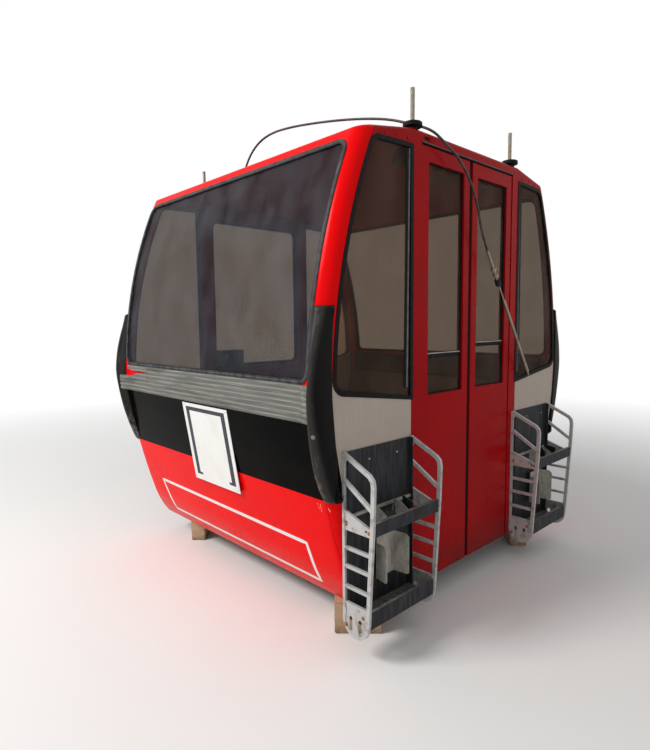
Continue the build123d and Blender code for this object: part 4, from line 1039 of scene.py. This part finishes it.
def on_castings(places):
    """The same places on the four castings' faces."""
    return [drop(frame_surface, (x + way * 0.02, DOOR_WALL - depth, height), (-way, 0, 0))
            for x, way in FRAME_FACES for depth, height in places]


turned_heads("rack_bolts", on_castings(BOLT_PLACES), WASHER, 12, rusty_steel)
turned_heads("rack_pins", on_castings([PIN_PLACE]), domed(5, 3), 12, zinc_sheet)
plate_screws = [((x, PLATE_FACE_Y, z), (0, -1, 0)) for x, z in SCREW_PLACES]
turned_heads("plate_screws", plate_screws, domed(4.5, 2.0), 12, cast)
print("rack bolts", len(FRAME_FACES) * len(BOLT_PLACES), "and screws", len(plate_screws))

# %% [markdown]
# ## Screws, spacers, plug and button
# Four screws hold the sign plate, and two spacers fill the gap behind its lower corners. A pale plug closes
# a hole in the cheek of the near fender, and the latch box inside has a white button.

# %% Small fasteners
SIDE_SHARES, LOW_SHARE = (0.035, 0.965), 0.965
sign_screws = [(sign_point(a, d), SIGN_OUT) for a in SIDE_SHARES for d in (0.03, LOW_SHARE)]
turned_heads("sign_screws", sign_screws, domed(3.6, 1.4), 12, cast)
spacers = []
for a in SIDE_SHARES:
    back = sign_point(a, LOW_SHARE, -SIGN_T)
    wall, _ = drop(end_surface, back, -SIGN_OUT)
    gap = (wall - back).length
    spacers.append((wall, SIGN_OUT))
turned_heads("sign_spacers", spacers, [(0.006, -0.001), (0.006, gap)], 16, black_steel,
             smooth=False)
print("the sign stands off", round(gap * 1000, 1), "mm at its bottom")

# %% Plug and button
PLUG_PLACE, PLUG_WAY = (-1091.8, -916.2, 949), Vector((0.80, 0.59, 0.10)).normalized()
BUTTON_IN, BUTTON_DOWN = 0.05, 0.04
fender_tree = BVHTree.FromPolygons([v.co.copy() for v in fender_piece.data.vertices],
                                   [tuple(p.vertices) for p in fender_piece.data.polygons])
plug_spot = drop(fender_tree, at(*PLUG_PLACE) - PLUG_WAY * 0.1, PLUG_WAY)
turned_heads("fender_plug", [plug_spot], domed(9, 1.6), 20, plug_grey)
latch_low, latch_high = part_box("latch_box")
button_spot = (latch_low[0] + BUTTON_IN, latch_low[1], latch_high[2] - BUTTON_DOWN)
turned_heads("latch_button", [(button_spot, (0, -1, 0))], domed(9, 5), 20, white_film)
print("plug at", [round(v, 3) for v in plug_spot[0]])

# %% [markdown]
# ## Hairlines and scratches in the gel coat
# The gel coat of the lower end panel has cracked in a thin, dark line beside the corner, where the sheet
# is bent most. It lies on the surface as a ribbon two millimetres wide. Skis have left four pale
# scratches beside the crack on the visible end, each a short ribbon on the same surface.

# %% Hairline beside each front corner
CRACK = [  # distance from the middle and height
    (0.8748, 0.655), (0.8770, 0.583), (0.8791, 0.510), (0.8832, 0.391)]
CRACK_STEPS = 24
crack_mark = rubber("dirt_in_crack", "#3a0c0c", "#5a1512", 0.4)
lower_panels = surface_of("end_lower_panels")
for tag, side in SIDES.items():
    path = []
    for k in range(CRACK_STEPS + 1):
        t = k / CRACK_STEPS * (len(CRACK) - 1)
        first = min(int(t), len(CRACK) - 2)
        y = CRACK[first][0] + (CRACK[first + 1][0] - CRACK[first][0]) * (t - first)
        z = CRACK[first][1] + (CRACK[first + 1][1] - CRACK[first][1]) * (t - first)
        path.append(drop(lower_panels, (side * END_OUT, BODY_Y - y, z), (-side, 0, 0)))
    ribbon("hairline_" + tag, path, 2.0, 0.3, 0.4, crack_mark, closed=False)
print("crack from", CRACK[0], "to", CRACK[-1])

# %% Ski scratches on the visible end
SCRATCHES = [  # both ends of each, as distance from the middle and height
    ((0.8215, 0.6433), (0.8240, 0.6371)), ((0.8266, 0.6309), (0.8287, 0.6186)),
    ((0.8404, 0.6450), (0.8409, 0.6077)), ((0.8812, 0.6348), (0.8889, 0.6188))]
scratch_mark = rubber("bare_gel_coat_scratch", "#cf8f80", "#e0b4a8", 0.5)
for number, ((y0, z0), (y1, z1)) in enumerate(SCRATCHES):
    path = []
    for k in range(5):
        start = (-END_OUT, BODY_Y - y0 - (y1 - y0) * k / 4, z0 + (z1 - z0) * k / 4)
        path.append(drop(lower_panels, start, (1, 0, 0)))
    ribbon("ski_scratch_" + str(number + 1), path, 2.8, 0.3, 0.4, scratch_mark, closed=False)
print("scratches", len(SCRATCHES))

# %% [markdown]
# ## Header details
# Over the doors a black block fills a slot in the header, painted shade for the slot's depth, and the black
# drip strip has a light bead along its upper edge, a painted highlight where the edge catches the light.

# %% Slot shade and drip highlight
# Painted shade: a black block in the header slot.
HEADER_SHADE_X, HEADER_SHADE_Z = (-0.3985, -0.3615), (2.2074, 2.2236)
HEADER_SHADE_Y = (DOOR_WALL + 0.003, DOOR_WALL + 0.034)
corners = [(x, y, z) for x in HEADER_SHADE_X for y in HEADER_SHADE_Y for z in HEADER_SHADE_Z]
box_faces = [(0, 1, 3, 2), (4, 6, 7, 5), (0, 4, 5, 1), (2, 3, 7, 6), (0, 2, 6, 4), (1, 5, 7, 3)]
slot_shade = mesh_piece("header_slot_shade", corners, box_faces, black_rubber)
softer = slot_shade.modifiers.new("edges", "BEVEL")
softer.width = 0.002
softer.segments = 2
drip_low, drip_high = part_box("door_drip_strip")
drip_long = drip_high[0] - drip_low[0]
# Painted highlight: a light ribbon along the drip strip's upper edge.
drip_highlight = [(Vector((drip_low[0] + drip_long * k / 12, drip_low[1] + 0.001, drip_high[2] - 0.001)),
         Vector((0, -0.6, 0.8))) for k in range(13)]
ribbon("drip_highlight", drip_highlight, 2.6, 1.0, 1.5, plug_grey, closed=False)
print("drip strip", [round(v, 3) for v in drip_low], [round(v, 3) for v in drip_high])

# %% [markdown]
# ## Drive arms behind the door windows
# Behind the top of each door window an orange arm of the door drive with two slots can be seen; the slots
# are black ribbons on the arm, painted shade for the dark seen through them. The arm is pressed sheet with
# a slight wave, so it and its slots are low ribbons along a sine.

# %% Drive arms
ARM_FROM_X, ARM_LONG, ARM_Y, ARM_Z = 0.035, 0.255, BODY_Y - 0.866, 2.127
SLOT_LONG, SLOT_Y, SLOT_Z = 0.070, BODY_Y - 0.869, 2.128
SLOT_STARTS = {"a": 0.075, "b": 0.180}
ARM_WAVE, SLOT_WAVE = 0.004, 0.003
TO_FRONT = Vector((0, -1, 0))


def wavy_path(side, from_x, long, y, z, wave, turn, steps):
    """A path across the door window that waves up and down a little."""
    return [(Vector((side * (from_x + long * k / steps), y, z + wave * math.sin(k * turn))), TO_FRONT)
            for k in range(steps + 1)]


for tag, side in SIDES.items():
    arm = wavy_path(side, ARM_FROM_X, ARM_LONG, ARM_Y, ARM_Z, ARM_WAVE, 0.9, 16)
    ribbon("drive_arm_" + tag, arm, 38, 2.0, 2.0, orange, closed=False)
    for name, start in SLOT_STARTS.items():
        # Painted shade: black ribbons where the arm's slots are.
        slot = wavy_path(side, start, SLOT_LONG, SLOT_Y, SLOT_Z, SLOT_WAVE, 0.8, 8)
        ribbon("drive_slot_shade_" + name + "_" + tag, slot, 14, 2.0, 1.0, black_steel,
               closed=False)
print("drive arms at z", ARM_Z)

# %% [markdown]
# ## Rail caps on the door windows
# Across each door window, at the height of the rail inside it, a black cap lies on the glass, with a light
# line along its top that is a painted highlight. The two caps lie at different heights, because the sliding
# panes behind them do.

# %% Rail caps
CAP_MIDDLES = {"left": (-0.2105, 1.231), "right": (0.2105, 1.272)}  # x and z
CAP_HALF, HIGHLIGHT_UP, HIGHLIGHT_OUT = 0.1465, 0.010, 0.0035
glass_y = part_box("door_window_panes")[0][1]
for tag, (middle_x, middle_z) in CAP_MIDDLES.items():
    places = [middle_x + CAP_HALF * (k / 3 - 1) for k in range(7)]
    bar = [(Vector((x, glass_y, middle_z)), TO_FRONT) for x in places]
    ribbon("rail_cap_" + tag, bar, 25, 4.0, 1.0, black_rubber, closed=False)
    # Painted highlight: a light line along the top of each cap.
    edge = [(Vector((x, glass_y - HIGHLIGHT_OUT, middle_z + HIGHLIGHT_UP)), TO_FRONT) for x in places]
    ribbon("rail_highlight_" + tag, edge, 4.5, 1.0, 2.0, zinc_sheet, closed=False)
print("rail caps on the glass at y", round(glass_y, 3))

# %% [markdown]
# ## Slide strips beside the side windows
# Each side window ends at the door pillar in an upright aluminium strip. It is flat, grey and slightly
# proud of the glass, leans a little towards the door at its top, and has a black seal beside it.

# %% Slide strips
STRIP_LOW, STRIP_HIGH, STRIP_LEAN = 1.098, 2.150, 0.014
STRIP_Y = DOOR_WALL + 0.0035
STRIPS = [  # name, x at the foot, width and height off the wall in mm, finish and slot
    ("slide_strip_", 0.5165, 10, 2.4, strip_grey, "grey_sheet"),
    ("strip_seal_", 0.5290, 20, 1.4, black_rubber, "black_seal")]
for tag, side in SIDES.items():
    for name, x, across, proud, finish, slot in STRIPS:
        path = [(Vector((side * (x - STRIP_LEAN * k / 12), STRIP_Y,
                         STRIP_LOW + (STRIP_HIGH - STRIP_LOW) * k / 12)), TO_FRONT) for k in range(13)]
        ribbon(name + tag, path, across, proud, 1.4, finish, closed=False)
print("strips", round(STRIP_HIGH - STRIP_LOW, 3), "m long")

# %% [markdown]
# ## Threaded studs
# The four hanger studs are M20 threaded bars. A thread is one long groove that climbs 2.5 mm a turn, so
# the radius of each point depends on its height and on its angle together. Modelled this way the thread
# shows from every side and needs no texture.

# %% Studs
PITCH, STUD_R, THREAD = 0.0025, 0.010, 0.0013
STUD_X, STUD_Y = 0.440, 0.889
STUD_LOW, STUD_HIGH = 2.281, 2.432
AROUND, LEVELS_IN_TURN = 18, 4
levels = int((STUD_HIGH - STUD_LOW) / PITCH * LEVELS_IN_TURN)
points, faces = [], []
for x, y in [(sx * STUD_X, BODY_Y + sy * STUD_Y) for sx in ENDS for sy in ENDS]:
    first = len(points)
    for level in range(levels + 1):
        z = STUD_LOW + (STUD_HIGH - STUD_LOW) * level / levels
        for k in range(AROUND):
            turn = (level / LEVELS_IN_TURN - k / AROUND) % 1.0
            radius = STUD_R - THREAD * abs(2 * turn - 1)
            if level == levels:
                radius = STUD_R - THREAD
            a = 2 * math.pi * k / AROUND
            points.append((x + radius * math.cos(a), y + radius * math.sin(a), z))
    faces += ring_faces(first, AROUND, levels + 1)
studs = mesh_piece("threaded_studs", points, faces, plated_steel, smooth=True)
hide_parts("hanger_studs")
print("thread turns", levels // LEVELS_IN_TURN)

# %% [markdown]
# ## Cushions
# The benches carry long foam cushions under vinyl, sewn across into four places, with lower pads behind
# the shoulders. Cloth simulation could puff them up, but they are firm and half hidden, so each is a
# closed grid whose sides pull in between its corners and whose seams are pressed down by a formula.

# %% Form of a crowned pad
INNER_X = {"seat_cushions": 0.566, "backrest_pads": 0.974}
PLACES = 4
LONG_STEPS, SHORT_STEPS = 18 * PLACES, 14
RIM_T, SEAM_DEPTH, SEAM_HALF = 0.42, 0.22, 0.014
PULL_SHORT, PULL_LONG = 0.012, 0.006


def crown_at(s, t, half_long):
    """How thick the pad is at a place, as a share of the whole: round at the rim, pressed in at a seam."""
    fall = (1 - abs(s) ** 14) * (1 - abs(t) ** 4)
    seam = min(abs((s + 1) / 2 * PLACES - k) for k in range(PLACES + 1)) / PLACES * 2 * half_long
    crown = RIM_T + (1 - RIM_T) * math.sqrt(max(fall, 0.0))
    return crown - SEAM_DEPTH * math.exp(-(seam / SEAM_HALF) ** 2)


def pad_faces():
    """The faces of two grids, one for each side of a pad, joined round their rims."""
    wide = SHORT_STEPS + 1
    whole = (LONG_STEPS + 1) * wide
    faces = []
    for i in range(LONG_STEPS):
        for j in range(SHORT_STEPS):
            a = i * wide + j
            faces.append((a, a + 1, a + wide + 1, a + wide))
            faces.append((whole + a, whole + a + wide, whole + a + wide + 1, whole + a + 1))
    rim = [(0, j) for j in range(SHORT_STEPS)] + [(i, SHORT_STEPS) for i in range(LONG_STEPS)]
    rim += [(LONG_STEPS, j) for j in range(SHORT_STEPS, 0, -1)] + [(i, 0) for i in range(LONG_STEPS, 0, -1)]
    rim = [i * wide + j for i, j in rim]
    return faces + [(b, a, whole + a, whole + b) for a, b in zip(rim, rim[1:] + rim[:1])]


print("thickness in a place and at a seam", [round(crown_at(s, 0, 0.8), 2) for s in (0.25, 0)])


# %% Crowned pads
def crowned_pad(name, node, side, face_axis):
    """A stuffed form in the space of one solid pad: long along Y, thick along face_axis, on one side."""
    low, high = (list(v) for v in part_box(node))
    if side < 0:
        high[0] = -INNER_X[node]
    else:
        low[0] = INNER_X[node]
    centre = [(a + b) / 2 for a, b in zip(low, high)]
    half = [(b - a) / 2 for a, b in zip(low, high)]
    flat_axis = 2 if face_axis == 0 else 0
    points = []
    for sheet in (1, -1):
        for i in range(LONG_STEPS + 1):
            s = 2 * i / LONG_STEPS - 1
            for j in range(SHORT_STEPS + 1):
                t = 2 * j / SHORT_STEPS - 1
                pull = 1 - PULL_SHORT * (1 - (1 - abs(t)) ** 2) * math.cos(math.pi * s / 2)
                spot = [0.0, 0.0, 0.0]
                spot[1] = centre[1] + half[1] * s * (1 - PULL_LONG * (1 - t * t))
                spot[flat_axis] = centre[flat_axis] + half[flat_axis] * t * pull
                spot[face_axis] = centre[face_axis] + half[face_axis] * crown_at(s, t, half[1]) * sheet
                points.append(spot)
    pad = mesh_piece(name, points, pad_faces(), vinyl, smooth=True)
    rounder = pad.modifiers.new("soft", "SUBSURF")
    rounder.levels = rounder.render_levels = 1
    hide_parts(node)


for tag, side in SIDES.items():
    crowned_pad("seat_cushion_" + tag, "seat_cushions", side, 2)
for tag, side in SIDES.items():
    crowned_pad("backrest_pad_" + tag, "backrest_pads", side, 0)

# %% [markdown]
# ## Sawn blocks
# Beam ends are never sharp. Each block is a box whose edges are bevelled and whose faces are cut fine
# enough to carry a slight unevenness, always inwards, so that it stays inside the solid it stands for.

# %% Timber blocks
BLOCKS = [  # x and y of the middle, length and width, in mm; each is turned by 45 degrees
    (-708, -788, 216, 216), (-680, 656, 210, 90), (690, -836, 200, 100), (680, 680, 200, 100)]
BLOCK_H, SAWN_EDGE, UNEVEN, HOLLOWS_IN_METRE = 0.145, 0.005, 0.0022, 26
FACE_IN = 0.002
box = bmesh.new()
for x, y, length, width in BLOCKS:
    made = bmesh.ops.create_cube(box, size=1.0)["verts"]
    centre = at(x, y, 0)
    for v in made:
        along, across, share_up = v.co.x * length / 1000, v.co.y * width / 1000, v.co.z + 0.5
        turned = Vector(((along - across) * math.sqrt(0.5), (along + across) * math.sqrt(0.5), 0))
        v.co = centre + turned + Vector((0, 0, share_up * BLOCK_H))
bmesh.ops.bevel(box, geom=list(box.edges), offset=SAWN_EDGE, segments=2, affect="EDGES")
bmesh.ops.subdivide_edges(box, edges=list(box.edges), cuts=7, use_grid_fill=True)
for v in box.verts:
    if FACE_IN < v.co.z < BLOCK_H - FACE_IN:
        centre = min((at(x, y, 0) for x, y, _, _ in BLOCKS), key=lambda c: (c.xy - v.co.xy).length)
        inward = (centre.xy - v.co.xy).normalized()
        v.co.xy += inward * UNEVEN * (noise.noise(v.co * HOLLOWS_IN_METRE) + 1)
block_mesh = bpy.data.meshes.new("sawn_blocks")
box.to_mesh(block_mesh)
box.free()
block_mesh.materials.append(timber)
blocks = bpy.data.objects.new("sawn_blocks", block_mesh)
bpy.context.scene.collection.objects.link(blocks)
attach(blocks, "root")
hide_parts("timber_blocks")
print("blocks", len(BLOCKS), "with", len(block_mesh.vertices), "points")

# %% [markdown]
# ## Floor
# The floor is a plain, pale studio floor that keeps the shadow. Far from the cabin it goes over into the
# white backdrop, for the camera alone, so that no horizon shows.

# %% Floor
FADE_FROM, FADE_TO, FLOOR_HALF = 2.6, 7.5, 40.0
floor_mat, tree, place = start_finish("studio_floor")
far = put(tree, "VectorMath", {0: place}, "Value", operation="LENGTH")
fade = put(tree, "MapRange", {"Value": far, "From Min": FADE_FROM, "From Max": FADE_TO})
seen = put(tree, "LightPath", out="Is Camera Ray")
fade_seen = put(tree, "Math", {0: fade, 1: seen}, operation="MULTIPLY")
pale = put(tree, "BsdfPrincipled", {"Base Color": "#f2f2f1", "Roughness": 0.8, "Specular IOR Level": 0.1})
white = put(tree, "Emission", {"Color": "#ffffff", "Strength": 1.0})
put(tree, "OutputMaterial", {"Surface": put(tree, "MixShader", {0: fade_seen, 1: pale, 2: white})})
floor_mesh = bpy.data.meshes.new("studio_floor")
floor_mesh.from_pydata([(-FLOOR_HALF, -FLOOR_HALF, 0), (FLOOR_HALF, -FLOOR_HALF, 0),
                        (FLOOR_HALF, FLOOR_HALF, 0), (-FLOOR_HALF, FLOOR_HALF, 0)], [], [(0, 1, 2, 3)])
floor_mesh.materials.append(floor_mat)
floor = bpy.data.objects.new("studio_floor", floor_mesh)
bpy.context.scene.collection.objects.link(floor)
print("floor fades from", FADE_FROM, "to", FADE_TO, "m")

# %% [markdown]
# ## Backdrop and lamp
# The photograph was taken in sun: the end wall is bright and the door side lies in shade. A studio keeps
# that order with softer light: one large lamp high over the left end, and a plain sky for everything else.
# The backdrop is white to the camera and to reflections, and dimmer as a light, so pale pieces don't clip.

# %% Backdrop
SKY_LIGHT = 0.5
world = bpy.data.worlds.new("studio")
bpy.context.scene.world = world
world.use_nodes = True
world.node_tree.nodes.clear()
tree = world.node_tree
by_camera = put(tree, "LightPath", out="Is Camera Ray")
by_gloss = put(tree, "LightPath", out="Is Glossy Ray")
by_glass = put(tree, "LightPath", out="Is Transmission Ray")
shown = put(tree, "Math", {0: by_camera, 1: by_gloss}, operation="MAXIMUM")
shown = put(tree, "Math", {0: shown, 1: by_glass}, operation="MAXIMUM")
strength = put(tree, "MapRange", {"Value": shown, "To Min": SKY_LIGHT, "To Max": 1.0})
put(tree, "OutputWorld", {"Surface": put(tree, "Background", {"Color": "#ffffff", "Strength": strength})})
print("sky lights with", SKY_LIGHT)

# %% Lamp
LAMP_WAY, LAMP_FAR = Vector((-0.80, 0.20, 0.57)).normalized(), 7.0
LAMP_AIM = Vector((0, BODY_Y, 1.1))
LAMP_SIZE, LAMP_POWER = 2.2, 6.6  # metres, and watts at one metre
lamp_data = bpy.data.lights.new("key_lamp", "AREA")
lamp_data.shape = "DISK"
lamp_data.size = LAMP_SIZE
lamp_data.energy = LAMP_POWER * LAMP_FAR ** 2
lamp_data.color = (1.0, 0.98, 0.955)
lamp = bpy.data.objects.new("key_lamp", lamp_data)
bpy.context.scene.collection.objects.link(lamp)
lamp.location = LAMP_AIM + LAMP_WAY * LAMP_FAR
lamp.rotation_euler = LAMP_WAY.to_track_quat("Z", "Y").to_euler()
bpy.context.scene.view_settings.view_transform = "Standard"
print("lamp", round(lamp_data.energy), "W at", LAMP_FAR, "m")
